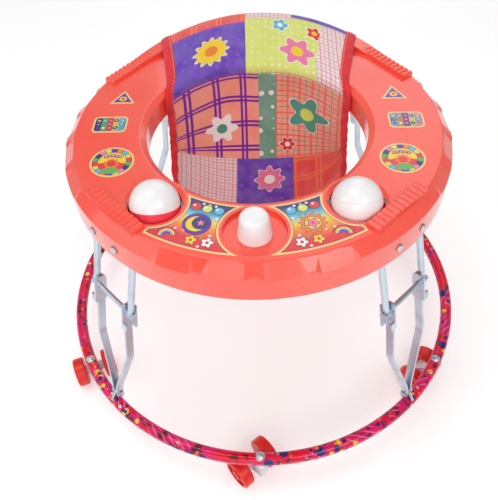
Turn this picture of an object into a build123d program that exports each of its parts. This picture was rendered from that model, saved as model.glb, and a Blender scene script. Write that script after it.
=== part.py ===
"""Round folding baby walker: play tray, sling seat, four folding legs, castered floor ring.

Millimetres, +Z up, floor at Z = 0, the child faces -Y. An azimuth is counted in degrees
from the front (-Y) towards +X. A piece that repeats round the walker is drawn in a local
frame with +X pointing outward and +Y along the rim, and is then turned to its azimuth.
"""
import math
import os

from build123d import *
from build123d.topology.shape_core import SkipClean

# Floor ring and its casters
RING_RADIUS = 280.0
RING_TUBE = 16.0
RING_WALL = 1.5
CASTER_COUNT = 6
CASTER_TURNS = [-139.0, 170.0, 100.0, -139.0, -30.0, -96.0]
WHEEL_DIAMETER = 42.0
WHEEL_WIDTH = 16.0
WHEEL_EDGE = 3.0
WHEEL_DISH = 2.5
HUB_RADIUS = 7.0
SLEEVE_LENGTH = 25.4
SLEEVE_RADIUS = 7.0
NECK_WIDTH = 12.0
NECK_RADIUS = 7.5
FORK_RISE = 0.5
TRAIL = 17.0
AXLE_DIAMETER = 5.0
STEM_DIAMETER = 6.0
STEM_REACH = 14.0
STEM_HEAD = 7.0
STEM_HEAD_RISE = 2.5
BUSH_DIAMETER = 13.0
BUSH_HEIGHT = 9.5

# Folding legs
LEG_AZIMUTHS = {"fl": -45.0, "fr": 45.0, "bl": -135.0, "br": 135.0}
PIVOT_INSET = 7.0
PIVOT_RISE = 13.0
PIVOT_PIN = 5.0
PIVOT_HEAD = 10.0
PIVOT_HEAD_LENGTH = 2.0
LUG_THICK = 4.0
LUG_EYE = 6.0
STRUT_WIDTH = 10.0
STRUT_THICK = 3.0
STRUT_BOW = 2.5
KNEE_OUT = 30.0
KNEE_RISE = 190.0
KNEE_ROD = 6.0
KNEE_ROD_HEAD = 9.0
KNEE_ROD_HEAD_LENGTH = 2.0
CHANNEL_THICK = 2.5
CHANNEL_ABOVE = 14.0
CHANNEL_BELOW = 24.0
CHANNEL_LIP = 9.0
CHANNEL_STOP_GAP = 1.3
BOW_ROD = 8.0
BOW_HALF_SPREAD = 33.0
BOW_EYE = 10.0
BOW_EYE_LENGTH = 8.6
BOW_BEND = 8.0
BOW_KINK_BEND = 18.0
BOW_KINK_INSET = 10.0
BOW_KINK_DROP = 8.0

# Play tray
TRAY_BAND = 96.0
TRAY_RISE = 266.0
TRAY_HEIGHT = 44.0
TRAY_WALL = 3.0
EDGE_WIDTH = 13.0
EDGE_DROP = 10.0
EDGE_EXTRA = 4.0
EDGE_ROUND = 2.5
HOLE_RADIUS = 131.0
LIP_WIDTH = 7.0
LIP_DROP = 5.0
WELL_DEPTH = 30.0
POCKET_STEP = 14.0
POCKET_DEPTH = 3.2
POCKET_RUN = 9.0
POCKET_RIB = 2.0
POCKET_GROUPS = {0.0: 4, 86.0: 4, -86.0: 4}
CREST_INSET = 5.0
CREST_WIDTH = 23.0
CREST_RISE = 20.0
CREST_HALF_ANGLE = 58.0
CREST_ARCH = 640.0
GRIP_AZIMUTHS = [-45.0, 45.0, -126.0, 126.0]
GRIP_INSET = 22.0
GRIP_LENGTH = 82.0
GRIP_WIDTH = 15.0
GRIP_RISE = 5.0
GRIP_WAVES = 11
GRIP_ROOT = 4.0

# Hinge brackets inside the tray
HINGE_INSET = 18.0
HINGE_RISE = 16.0
HINGE_EYE = 13.0
HINGE_ARM_SPREAD = 11.0
HINGE_ARM_THICK = 2.5
HINGE_PLATE_THICK = 2.0
HINGE_PLATE_WIDTH = 52.0
HINGE_PLATE_HEIGHT = 24.0
HINGE_SLOT_TRAVEL = 3.5
FITTED_LEG = "fl"
SCREW_SPREAD = 19.5
SCREW_SHANK = 4.0
SCREW_HEAD = 9.0
SCREW_HEAD_RISE = 2.4

# Toys on the tray
BALL_MARGIN = 42.0
BALL_WALL = 2.4
BALL_LIP = 11.0
BALL_AZIMUTH = 38.5
BALL_SINK = 4.0
BALL_AXLE = 5.0
CUP_GAP = 1.5
CUP_WALL = 2.5
CUP_DISH = 4.5
CUP_DISH_DEPTH = 3.0
KNOB_SETBACK = 44.0
KNOB_BASE = 36.0
KNOB_TOP = 28.0
KNOB_HEIGHT = 28.0
KNOB_CROWN = 7.0
KNOB_DISH = 33.0
KNOB_DISH_DEPTH = 4.5
SPINDLE_DIAMETER = 6.0
SPINDLE_REACH = 18.0
STICKER_THICK = 0.6
STICKER_MARGIN = 3.0
FRONT_STICKER_SPAN = (3.0, 32.5)
ROUND_STICKER = 50.0
ROUND_STICKER_AZIMUTH = 67.0
SQUARE_STICKER = (41.0, 30.0)
SQUARE_STICKER_CORNER = 6.0
SQUARE_STICKER_AZIMUTH = 90.0
CORNER_STICKER = 18.0
CORNER_STICKER_AZIMUTH = 107.0

# Sling seat
CLOTH_THICK = 2.4
CLOTH_FLAP = 24.0
CLOTH_FLARE = 27.0
CLOTH_SIDE_INSET = 30.0
CLOTH_CROTCH_HALF_WIDTH = 52.0
CLOTH_TAPER = (-55.0, 20.0)
CLOTH_SEAT_DROP = 150.0
CLOTH_OVERHANG = 4.0
CLOTH_CURVE = [(0.34, 1.0), (0.62, 0.93), (0.82, 0.77), (0.95, 0.5), (1.0, 0.22)]
CLOTH_FRONT_BELOW = 12.0
LOBE_RADIUS = 60.0
LOBE_INSET = 59.5
LOBE_AZIMUTH = 159.0
LOBE_DROP = 52.5
BINDING_WIDTH = 16.0
BINDING_THICK = 4.0
STUD_DIAMETER = 9.0
STUD_RISE = 2.0
STUD_POST = 3.0
STUD_SPREAD = 35.0

# Clearances
RUN = 0.05
SADDLE_GAP = 0.12
SIDE_GAP = 0.3
SEAT_GAP = 0.3

# Heights and places that follow from the sizes above
FORK_TOP = WHEEL_DIAMETER + FORK_RISE
RING_Z = FORK_TOP + SIDE_GAP + BUSH_HEIGHT + RING_TUBE / 2
PIVOT_R = RING_RADIUS - PIVOT_INSET
PIVOT_Z = RING_Z + PIVOT_RISE
KNEE_Z = RING_Z + KNEE_RISE
TRAY_Z = RING_Z + TRAY_RISE
TRAY_TOP = TRAY_Z + TRAY_HEIGHT
TRAY_RADIUS = HOLE_RADIUS + TRAY_BAND
WALL_INNER = TRAY_RADIUS - TRAY_WALL
CREST_OUTER = TRAY_RADIUS - CREST_INSET
CREST_INNER = CREST_OUTER - CREST_WIDTH
GRIP_DISTANCE = TRAY_RADIUS - GRIP_INSET
BALL_DIAMETER = TRAY_BAND - BALL_MARGIN
BALL_DISTANCE = HOLE_RADIUS + BALL_LIP + BALL_DIAMETER / 2
KNOB_DISTANCE = HOLE_RADIUS + KNOB_SETBACK
CLOTH_WELL_HALF_WIDTH = HOLE_RADIUS - CLOTH_SIDE_INSET
CLOTH_BACK_HALF_WIDTH = CLOTH_WELL_HALF_WIDTH + CLOTH_FLARE
LOBE_DISTANCE = HOLE_RADIUS - LOBE_INSET
HINGE_R = WALL_INNER - HINGE_INSET
KNEE_RADIUS = HINGE_R + KNEE_OUT
HINGE_Z = TRAY_Z + HINGE_RISE
STRUT_LENGTH = math.hypot(PIVOT_R - KNEE_RADIUS, KNEE_Z - PIVOT_Z)
STRUT_LEAN = math.degrees(math.atan2(PIVOT_R - KNEE_RADIUS, KNEE_Z - PIVOT_Z))
WEB_OFFSET = BOW_HALF_SPREAD - BOW_EYE_LENGTH / 2 - SIDE_GAP - CHANNEL_THICK / 2
APEX_OFFSET = LUG_THICK / 2 + SIDE_GAP + STRUT_THICK / 2
WHEEL_OFFSET = SLEEVE_LENGTH / 2 + SIDE_GAP + WHEEL_WIDTH / 2
BALL_Z = TRAY_TOP - BALL_SINK
KNOB_FLOOR = TRAY_TOP - KNOB_DISH_DEPTH


def polar(distance, azimuth, z=0.0):
    """Point at a distance from the middle, in the direction of an azimuth."""
    angle = math.radians(azimuth)
    return (distance * math.sin(angle), -distance * math.cos(angle), z)


def turned(shape, azimuth):
    """Shape drawn with +X outward, turned about Z to its azimuth."""
    return Rot(0, 0, azimuth - 90) * shape


def across(diameter, length, x, z, y=0.0):
    """Round bar along the rim (local Y), centred on a point of the leg's own plane."""
    return Pos(x, y, z) * Rot(90, 0, 0) * Cylinder(diameter / 2, length)


def disc(radius, low, high):
    """Upright cylinder between two heights."""
    return Pos(0, 0, (low + high) / 2) * Cylinder(radius, high - low)


# Floor ring
def caster_azimuths():
    """Azimuth of each caster, starting at the front."""
    return [i * 360.0 / CASTER_COUNT for i in range(CASTER_COUNT)]


def on_ring(shape, azimuth):
    """Shape drawn at the middle, with the tube along Y, moved to its place on the ring."""
    return turned(Pos(RING_RADIUS, 0, 0) * shape, azimuth)


def base_ring():
    """Bent steel tube, made of one drilled arc per caster stem."""
    step = 360.0 / CASTER_COUNT
    wall = Circle(RING_TUBE / 2) - Circle(RING_TUBE / 2 - RING_WALL)
    arc = revolve(Plane.XZ * Pos(RING_RADIUS, RING_Z) * wall, Axis.Z, step)
    drill = disc(STEM_DIAMETER / 2 + RUN, RING_Z - RING_TUBE, RING_Z + RING_TUBE)
    arc = Rot(0, 0, -step / 2) * arc - Pos(RING_RADIUS, 0, 0) * drill
    with SkipClean():
        return Part() + [turned(arc, azimuth) for azimuth in caster_azimuths()]


def caster_stems():
    """Riveted stems: dome head on top of the ring, shank down into each caster."""
    low = FORK_TOP - STEM_REACH
    high = RING_Z + RING_TUBE / 2
    shank = disc(STEM_DIAMETER / 2, low, high + STEM_HEAD_RISE / 2)
    dome = Pos(0, 0, high - STEM_HEAD_RISE) * Sphere(STEM_HEAD)
    head = dome & disc(STEM_HEAD, high + STEM_HEAD_RISE / 2, high + 2 * STEM_HEAD)
    saddle = disc(STEM_HEAD * 0.8, high - STEM_HEAD_RISE, high + STEM_HEAD_RISE / 2)
    stem = shank + head + (saddle - across(RING_TUBE + 2 * SADDLE_GAP, RING_TUBE * 2, 0, RING_Z))
    return [on_ring(stem, azimuth) for azimuth in caster_azimuths()]


def caster_bushes():
    """White nylon collars between ring and caster, saddled to the tube."""
    low = FORK_TOP + SIDE_GAP
    collar = disc(BUSH_DIAMETER / 2, low, RING_Z)
    collar -= disc(STEM_DIAMETER / 2 + RUN, low - 1, RING_Z + 1)
    collar -= across(RING_TUBE + 2 * SADDLE_GAP, RING_TUBE * 2, 0, RING_Z)
    return [on_ring(collar, azimuth) for azimuth in caster_azimuths()]


# Casters, drawn at the middle with the trail along +X
def at_caster(shape, index):
    """Shape of one caster moved under its place on the ring, at its resting swivel."""
    azimuth = caster_azimuths()[index]
    turn = azimuth + CASTER_TURNS[index] - 90
    return Pos(*polar(RING_RADIUS, azimuth)) * Rot(0, 0, turn) * shape


def caster_fork():
    """Moulded neck with the swivel socket, on a cross sleeve that holds the axle."""
    axle_z = WHEEL_DIAMETER / 2
    socket = STEM_REACH + NECK_RADIUS / 2
    head = Pos(0, FORK_TOP - socket / 2) * Rectangle(2 * NECK_RADIUS, socket)
    eye = Pos(TRAIL, axle_z) * Circle(SLEEVE_RADIUS)
    outline = make_hull((head + eye).edges())
    block = extrude(Plane.XZ * outline, NECK_WIDTH / 2, both=True)
    crown = block.edges().filter_by(Axis.Y).group_by(Axis.Z)[-1]
    block = fillet(crown, NECK_RADIUS / 4)
    block += across(2 * SLEEVE_RADIUS, SLEEVE_LENGTH, TRAIL, axle_z)
    block -= disc(STEM_DIAMETER / 2 + RUN, FORK_TOP - STEM_REACH - SIDE_GAP, FORK_TOP + 1)
    return block - across(AXLE_DIAMETER + 2 * RUN, 2 * SLEEVE_LENGTH, TRAIL, axle_z)


def caster_axle():
    """Steel axle that carries both wheels."""
    length = 2 * WHEEL_OFFSET + WHEEL_WIDTH - WHEEL_DISH
    return across(AXLE_DIAMETER, length, TRAIL, WHEEL_DIAMETER / 2)


def caster_wheels():
    """Pair of moulded wheels with a rounded tread and a dished outer face."""
    rim = WHEEL_DIAMETER / 2
    half = WHEEL_WIDTH / 2
    bore = AXLE_DIAMETER / 2 + RUN
    section = Pos((rim + bore) / 2, 0) * Rectangle(rim - bore, WHEEL_WIDTH)
    section = fillet(section.vertices().group_by(Axis.X)[-1], WHEEL_EDGE)
    dish_width = rim - WHEEL_EDGE - 1 - HUB_RADIUS
    dish = Pos(HUB_RADIUS + dish_width / 2, half) * Rectangle(dish_width, 2 * WHEEL_DISH)
    wheel = revolve(Plane.XZ * (section - dish), Axis.Z)
    pair = []
    for side in (-1, 1):
        upright = Rot(90, 0, 0) if side < 0 else Rot(-90, 0, 0)
        pair.append(Pos(TRAIL, side * WHEEL_OFFSET, rim) * upright * wheel)
    return pair


# Folding legs, drawn in their own plane with +X outward
def strut_plane():
    """Plane of the lower struts: X along the rim, Y from ring pivot to knee."""
    lean = math.radians(STRUT_LEAN)
    return Plane(origin=(PIVOT_R, 0, PIVOT_Z), x_dir=(0, 1, 0),
                 z_dir=(math.cos(lean), 0, math.sin(lean)))


def ring_lug():
    """Ear welded on the ring, which the leg's foot turns on."""
    eye = Pos(PIVOT_R, PIVOT_Z) * Circle(LUG_EYE)
    root = Pos(RING_RADIUS, RING_Z) * Circle(RING_TUBE / 2)
    ear = extrude(Plane.XZ * make_hull((eye + root).edges()), LUG_THICK / 2, both=True)
    ear -= across(PIVOT_PIN + 2 * RUN, 2 * LUG_THICK, PIVOT_R, PIVOT_Z)
    return ear - across(RING_TUBE + 2 * SADDLE_GAP, 2 * LUG_THICK, RING_RADIUS, RING_Z)


def pivot_pin():
    """Headed pin through ear and struts."""
    reach = APEX_OFFSET + STRUT_THICK / 2 + SIDE_GAP
    pin = across(PIVOT_PIN, 2 * reach, PIVOT_R, PIVOT_Z)
    for side in (-1, 1):
        middle = side * (reach + PIVOT_HEAD_LENGTH / 2)
        pin += across(PIVOT_HEAD, PIVOT_HEAD_LENGTH, PIVOT_R, PIVOT_Z, middle)
    return pin


def lower_strut(side):
    """Flat steel strut: foot eye, bowed strip and the knee channel at its top."""
    plane = strut_plane()
    path = FilletPolyline(
        (side * APEX_OFFSET, 0),
        (side * APEX_OFFSET, STRUT_LENGTH * 0.09),
        (side * (WEB_OFFSET + STRUT_BOW), STRUT_LENGTH * 0.56),
        (side * WEB_OFFSET, STRUT_LENGTH * 0.86),
        (side * WEB_OFFSET, STRUT_LENGTH - CHANNEL_BELOW / 2),
        radius=STRUT_LENGTH * 0.2)
    strip = extrude(plane * trace(path, STRUT_THICK), STRUT_WIDTH / 2, both=True)
    strip += across(STRUT_WIDTH, STRUT_THICK, PIVOT_R, PIVOT_Z, side * APEX_OFFSET)
    strip += knee_channel(side)
    strip -= across(PIVOT_PIN + 2 * RUN, 4 * APEX_OFFSET, PIVOT_R, PIVOT_Z)
    return strip - across(KNEE_ROD + 2 * RUN, 4 * WEB_OFFSET, KNEE_RADIUS, KNEE_Z)


def knee_channel(side):
    """Pressed channel round the knee, with a full lip behind the bow and a short one before."""
    plane = strut_plane()
    inside = BOW_ROD / 2 + CHANNEL_STOP_GAP
    outside = inside + CHANNEL_THICK
    length = CHANNEL_ABOVE + CHANNEL_BELOW
    middle = STRUT_LENGTH + (CHANNEL_ABOVE - CHANNEL_BELOW) / 2
    web = Pos(side * WEB_OFFSET, middle, 0) * Box(CHANNEL_THICK, length, 2 * outside)
    round_top = web.edges().filter_by(Axis.X).group_by(Axis.Y)[-1]
    web = fillet(round_top, outside * 0.6)
    lip_x = side * (WEB_OFFSET + (CHANNEL_LIP - CHANNEL_THICK) / 2)
    stop = Pos(lip_x, middle - outside * 0.3, -(inside + CHANNEL_THICK / 2))
    stop_lip = stop * Box(CHANNEL_LIP, length - outside * 0.6, CHANNEL_THICK)
    short = CHANNEL_BELOW - BOW_EYE * 1.4
    guard = Pos(lip_x, STRUT_LENGTH - CHANNEL_BELOW + short / 2, inside + CHANNEL_THICK / 2)
    guard_lip = guard * Box(CHANNEL_LIP, short, CHANNEL_THICK)
    return plane * (web + stop_lip + guard_lip)


def knee_rod():
    """Cross rod: hinge pin of both knees, with peened heads."""
    reach = BOW_HALF_SPREAD + BOW_EYE_LENGTH / 2 + SIDE_GAP
    rod = across(KNEE_ROD, 2 * reach, KNEE_RADIUS, KNEE_Z)
    for side in (-1, 1):
        middle = side * (reach + KNEE_ROD_HEAD_LENGTH / 2)
        rod += across(KNEE_ROD_HEAD, KNEE_ROD_HEAD_LENGTH, KNEE_RADIUS, KNEE_Z, middle)
    return rod


def upper_bow():
    """Upper link bent from one rod: two legs with knee eyes and a bar that hinges in the tray."""
    kink_r = WALL_INNER - BOW_KINK_INSET + BOW_ROD / 2
    kink_z = TRAY_Z - BOW_KINK_DROP
    half = [(KNEE_RADIUS, KNEE_Z), (kink_r, kink_z), (HINGE_R, HINGE_Z)]
    points = [(r, -BOW_HALF_SPREAD, z) for r, z in half]
    points += [(r, BOW_HALF_SPREAD, z) for r, z in reversed(half)]
    path = FilletPolyline(*points, radius=[BOW_KINK_BEND, BOW_BEND, BOW_BEND, BOW_KINK_BEND])
    bow = sweep(Plane(origin=path @ 0, z_dir=path % 0) * Circle(BOW_ROD / 2), path)
    for side in (-1, 1):
        bow += across(BOW_EYE, BOW_EYE_LENGTH, KNEE_RADIUS, KNEE_Z, side * BOW_HALF_SPREAD)
    return bow - across(KNEE_ROD + 2 * RUN, 4 * BOW_HALF_SPREAD, KNEE_RADIUS, KNEE_Z)


def hinge_bracket(travel):
    """Bracket screwed inside the tray wall; its two arms hold the bow's bar in an eye or a slot."""
    face = WALL_INNER - SEAT_GAP
    band = disc(face, HINGE_Z - HINGE_PLATE_HEIGHT / 2, HINGE_Z + HINGE_PLATE_HEIGHT / 2)
    band -= disc(face - HINGE_PLATE_THICK, TRAY_Z - HINGE_PLATE_HEIGHT, TRAY_TOP)
    window = Pos(face, 0, HINGE_Z) * Box(face, HINGE_PLATE_WIDTH, TRAY_HEIGHT)
    bracket = band & window
    bar = BOW_ROD + 2 * RUN
    root_x = face - HINGE_PLATE_THICK
    nose = Pos(HINGE_R - travel, HINGE_Z) * Circle(HINGE_EYE / 2)
    root = Pos(root_x - HINGE_EYE / 2, HINGE_Z) * Rectangle(HINGE_EYE, HINGE_EYE)
    outline = Plane.XZ * make_hull((nose + root).edges())
    slot = across(bar, TRAY_RADIUS, HINGE_R - travel, HINGE_Z)
    slot += across(bar, TRAY_RADIUS, HINGE_R + travel, HINGE_Z)
    if travel:
        slot += Pos(HINGE_R, 0, HINGE_Z) * Box(2 * travel, TRAY_RADIUS, bar)
    for side in (-1, 1):
        arm = extrude(outline, HINGE_ARM_THICK / 2, both=True)
        bracket += Pos(0, side * HINGE_ARM_SPREAD, 0) * arm
    bracket -= slot
    return bracket - screw_holes(SCREW_SHANK + 2 * RUN)


def screw_azimuths():
    """Offsets in degrees of a bracket's two screws from the leg's own azimuth."""
    angle = math.degrees(SCREW_SPREAD / TRAY_RADIUS)
    return (-angle, angle)


def screw_holes(diameter):
    """Radial drills for one bracket's screws."""
    drill = Pos(TRAY_RADIUS, 0, HINGE_Z) * Rot(0, 90, 0) * Cylinder(diameter / 2, HINGE_INSET)
    first, second = screw_azimuths()
    return Rot(0, 0, first) * drill + Rot(0, 0, second) * drill


def tray_screw():
    """Pan-head screw through the tray wall into the bracket."""
    inner = WALL_INNER - SEAT_GAP - HINGE_PLATE_THICK
    outer = TRAY_RADIUS + SEAT_GAP
    shank = Pos((inner + outer) / 2, 0, HINGE_Z) * Rot(0, 90, 0)
    screw = shank * Cylinder(SCREW_SHANK / 2, outer - inner)
    head = Pos(outer + SCREW_HEAD_RISE / 2, 0, HINGE_Z) * Rot(0, 90, 0)
    pan = Cylinder(SCREW_HEAD / 2, SCREW_HEAD_RISE)
    pan = fillet(pan.edges().group_by(Axis.Z)[-1], SCREW_HEAD_RISE * 0.7)
    return screw + head * pan


# Play tray
def tray_section():
    """Half section of the tray's skin, drawn in radius and height."""
    top = TRAY_TOP
    edge_z = top - EDGE_DROP
    under = top - TRAY_WALL
    low_edge = edge_z - EDGE_EXTRA - TRAY_WALL / 3
    foot = (TRAY_RADIUS, TRAY_Z)
    well = (HOLE_RADIUS, top - WELL_DEPTH)
    with BuildSketch(Plane.XZ) as sketch:
        with BuildLine():
            FilletPolyline(
                foot,
                (TRAY_RADIUS, edge_z),
                (TRAY_RADIUS - EDGE_WIDTH, top),
                (HOLE_RADIUS + LIP_WIDTH, top),
                (HOLE_RADIUS, top - LIP_DROP),
                well,
                radius=EDGE_ROUND)
            Polyline(
                well,
                (HOLE_RADIUS + TRAY_WALL, top - WELL_DEPTH),
                (HOLE_RADIUS + TRAY_WALL, top - LIP_DROP - TRAY_WALL),
                (HOLE_RADIUS + LIP_WIDTH, under),
                (TRAY_RADIUS - EDGE_WIDTH - TRAY_WALL - EDGE_EXTRA, under),
                (WALL_INNER, low_edge),
                (WALL_INNER, TRAY_Z),
                foot)
        make_face()
    return sketch.sketch


def edge_pockets():
    """Cutters for the pockets in the tray's chamfered edge, which deepen towards its foot."""
    length = math.hypot(EDGE_DROP, EDGE_WIDTH)
    slope = math.degrees(math.atan2(EDGE_DROP, EDGE_WIDTH) + math.atan2(POCKET_DEPTH, length))
    pitch = TRAY_RADIUS * math.radians(POCKET_STEP)
    floor = (pitch - POCKET_RIB) / 2 - POCKET_RUN
    high = 3 * POCKET_DEPTH
    mouth = floor + 3 * POCKET_RUN
    outline = Polygon((-floor, 0), (floor, 0), (mouth, high), (-mouth, high), align=None)
    pocket = Rot(0, slope, 0) * extrude(Plane.YZ * outline, 2 * length)
    pocket = Pos(TRAY_RADIUS - EDGE_WIDTH, 0, TRAY_TOP) * pocket
    cutters = []
    for centre, count in POCKET_GROUPS.items():
        for i in range(count):
            azimuth = centre + (i - (count - 1) / 2) * POCKET_STEP
            cutters.append(turned(pocket, azimuth))
    return cutters


def crest(grow):
    """Raised back rim: a ring sector whose top is arched from side to side."""
    band = disc(CREST_OUTER + grow, TRAY_TOP - TRAY_WALL - 1, TRAY_TOP + 2 * CREST_RISE)
    band -= disc(CREST_INNER - grow, TRAY_Z, TRAY_TOP + 3 * CREST_RISE)
    arch = Pos(0, 0, TRAY_TOP + CREST_RISE - CREST_ARCH) * Rot(90, 0, 0)
    band &= arch * Cylinder(CREST_ARCH + grow, 3 * TRAY_RADIUS)
    slant = math.radians(CREST_HALF_ANGLE)
    apex = -grow / math.sin(slant)
    reach = 2 * TRAY_RADIUS
    side = (reach - apex) * math.tan(slant)
    wedge = Polygon((0, apex), (side, reach), (-side, reach), align=None)
    return band & Pos(0, 0, TRAY_Z) * extrude(wedge, TRAY_HEIGHT + 3 * CREST_RISE)


def grip_bar():
    """Straight hand grip along a chord of the rim, with a waved top."""
    step = GRIP_LENGTH / GRIP_WAVES
    start = -GRIP_LENGTH / 2
    low = TRAY_TOP - GRIP_ROOT
    crown = TRAY_TOP + GRIP_RISE
    dip = crown - step / 4
    with BuildSketch(Plane.YZ) as profile:
        with BuildLine():
            for i in range(GRIP_WAVES):
                left = start + i * step
                ThreePointArc((left, dip), (left + step / 2, crown), (left + step, dip))
            Polyline((start + GRIP_LENGTH, dip), (start + GRIP_LENGTH, low), (start, low),
                     (start, dip))
        make_face()
    return Pos(GRIP_DISTANCE, 0, 0) * extrude(profile.sketch, GRIP_WIDTH / 2, both=True)


def ball_place(side):
    """Centre of the left (-1) or right (+1) ball."""
    return Pos(*polar(BALL_DISTANCE, side * BALL_AZIMUTH, BALL_Z))


def ball_cup():
    """Round socket below the tray's top for one ball, drawn at the ball's centre."""
    outer = BALL_DIAMETER / 2 + CUP_GAP + CUP_WALL
    cup = Sphere(outer) & disc(outer + 1, -outer, BALL_SINK)
    collar_low = BALL_SINK - TRAY_WALL - CUP_DISH_DEPTH
    return cup + disc(outer + CUP_DISH, collar_low, BALL_SINK)


def ball_hollow():
    """Space of one ball's socket with its shallow rim dish and axle holes."""
    inner = BALL_DIAMETER / 2 + CUP_GAP
    dish = Pos(0, 0, BALL_SINK - CUP_DISH_DEPTH / 2)
    dish *= Cone(inner, inner + CUP_DISH, CUP_DISH_DEPTH)
    axle = Rot(0, 90, 0) * Cylinder(BALL_AXLE / 2 + RUN, 2 * (inner + CUP_WALL))
    return Sphere(inner) + dish + axle


def tray_shell():
    """Moulded tray: skin, back crest, grips, ball sockets and knob dish."""
    tray = revolve(tray_section(), Axis.Z)
    tray = tray + crest(0) - crest(-TRAY_WALL)
    for azimuth in GRIP_AZIMUTHS:
        tray += turned(grip_bar(), azimuth)
    for cutter in edge_pockets():
        tray -= cutter
    for side in (-1, 1):
        tray += ball_place(side) * ball_cup()
    for side in (-1, 1):
        tray -= ball_place(side) * ball_hollow()
    knob = Pos(*polar(KNOB_DISTANCE, 0))
    tray += knob * disc(KNOB_DISH + CUP_WALL, KNOB_FLOOR - TRAY_WALL, TRAY_TOP)
    tray -= knob * disc(KNOB_DISH, KNOB_FLOOR, TRAY_TOP + 1)
    tray -= knob * disc(SPINDLE_DIAMETER / 2 + RUN, TRAY_Z, TRAY_TOP)
    for azimuth in LEG_AZIMUTHS.values():
        tray -= turned(screw_holes(SCREW_SHANK + 2 * RUN), azimuth)
    for place in stud_places():
        tray -= place * Cylinder(STUD_POST / 2 + RUN, 4 * (CLOTH_OVERHANG + TRAY_WALL))
    return tray


# Toys
def ball_halves(side):
    """Upper and lower half shell of one ball, bored for its axle."""
    ball = Sphere(BALL_DIAMETER / 2) - Sphere(BALL_DIAMETER / 2 - BALL_WALL)
    ball -= Rot(0, 90, 0) * Cylinder(BALL_AXLE / 2 + RUN, 2 * BALL_DIAMETER)
    upper = ball & disc(BALL_DIAMETER, 0, BALL_DIAMETER)
    lower = ball & disc(BALL_DIAMETER, -BALL_DIAMETER, 0)
    return ball_place(side) * upper, ball_place(side) * lower


def ball_axles():
    """Steel pins that the balls spin on, held in the socket walls."""
    length = BALL_DIAMETER + 2 * CUP_GAP + 2 * CUP_WALL - 2 * SIDE_GAP
    pin = Rot(0, 90, 0) * Cylinder(BALL_AXLE / 2, length)
    return [ball_place(side) * pin for side in (-1, 1)]


def centre_knob():
    """Tapered turning knob with a rounded crown."""
    low = KNOB_FLOOR + SIDE_GAP
    high = low + KNOB_HEIGHT
    knob = Pos(0, 0, low + KNOB_HEIGHT / 2) * Cone(KNOB_BASE / 2, KNOB_TOP / 2, KNOB_HEIGHT)
    knob = fillet(knob.edges().group_by(Axis.Z)[-1], KNOB_CROWN)
    knob -= disc(SPINDLE_DIAMETER / 2 + RUN, low - 1, low + SPINDLE_REACH)
    return Pos(*polar(KNOB_DISTANCE, 0)) * knob


def knob_spindle():
    """Pin fixed in the tray that the knob turns on, with a head under the dish."""
    floor = KNOB_FLOOR - TRAY_WALL
    pin = disc(SPINDLE_DIAMETER / 2, floor, KNOB_FLOOR + SPINDLE_REACH - SIDE_GAP)
    head = disc(SPINDLE_DIAMETER, floor - TRAY_WALL, floor)
    return Pos(*polar(KNOB_DISTANCE, 0)) * (pin + head)


def front_sticker(side, inner, outer):
    """Outline of a big front label, hollowed round the ball and the knob."""
    near, far = (polar(2 * outer, side * angle) for angle in FRONT_STICKER_SPAN)
    label = Circle(outer) - Circle(inner)
    label &= Polygon((0, 0), far[:2], near[:2], align=None)
    ball_rim = BALL_DIAMETER / 2 + CUP_GAP + CUP_DISH + STICKER_MARGIN
    ball = polar(BALL_DISTANCE, side * BALL_AZIMUTH)
    label -= Pos(*ball[:2]) * Circle(ball_rim)
    label -= Pos(0, -KNOB_DISTANCE) * Circle(KNOB_DISH + STICKER_MARGIN)
    return Sketch() + label.faces().sort_by(SortBy.AREA)[-1]


def sticker_outlines():
    """Flat outlines of the printed labels on the tray's top."""
    inner = HOLE_RADIUS + LIP_WIDTH + STICKER_MARGIN
    outer = TRAY_RADIUS - EDGE_WIDTH - 2 * STICKER_MARGIN
    middle = (inner + outer) / 2
    outlines = []
    for side in (-1, 1):
        outlines.append(front_sticker(side, inner, outer))
        spot = polar(middle, side * ROUND_STICKER_AZIMUTH)
        outlines.append(Pos(*spot[:2]) * Circle(ROUND_STICKER / 2))
        spot = polar(middle, side * SQUARE_STICKER_AZIMUTH)
        square = RectangleRounded(*SQUARE_STICKER, SQUARE_STICKER_CORNER)
        outlines.append(Pos(*spot[:2]) * square)
        spot = polar(middle, side * CORNER_STICKER_AZIMUTH)
        outlines.append(Pos(*spot[:2]) * RegularPolygon(CORNER_STICKER, 3, rotation=90))
    return outlines


def tray_stickers():
    """Thin printed labels lying on the tray's top."""
    return [Pos(0, 0, TRAY_TOP) * extrude(outline, STICKER_THICK) for outline in sticker_outlines()]


# Sling seat
def tray_cover(grow):
    """Outer form of the tray's back, grown by a distance, that the cloth is draped on."""
    edge_z = TRAY_TOP - EDGE_DROP + grow * 0.4
    with BuildSketch(Plane.XZ) as sketch:
        with BuildLine():
            Polyline(
                (0, TRAY_TOP - CLOTH_FLAP),
                (TRAY_RADIUS + grow, TRAY_TOP - CLOTH_FLAP),
                (TRAY_RADIUS + grow, edge_z),
                (TRAY_RADIUS - EDGE_WIDTH + grow * 0.5, TRAY_TOP + grow),
                (0, TRAY_TOP + grow),
                close=True)
        make_face()
    return revolve(sketch.sketch, Axis.Z) + crest(grow)


def back_cover(thick):
    """Layer that lies on the tray all round, from the hole's rim to below the outer edge."""
    drape = tray_cover(SEAT_GAP + thick) - tray_cover(SEAT_GAP)
    drape -= disc(HOLE_RADIUS - CLOTH_OVERHANG - CLOTH_THICK, TRAY_Z, TRAY_TOP + 3 * CREST_RISE)
    return drape - disc(HOLE_RADIUS, TRAY_Z, TRAY_TOP)


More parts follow.
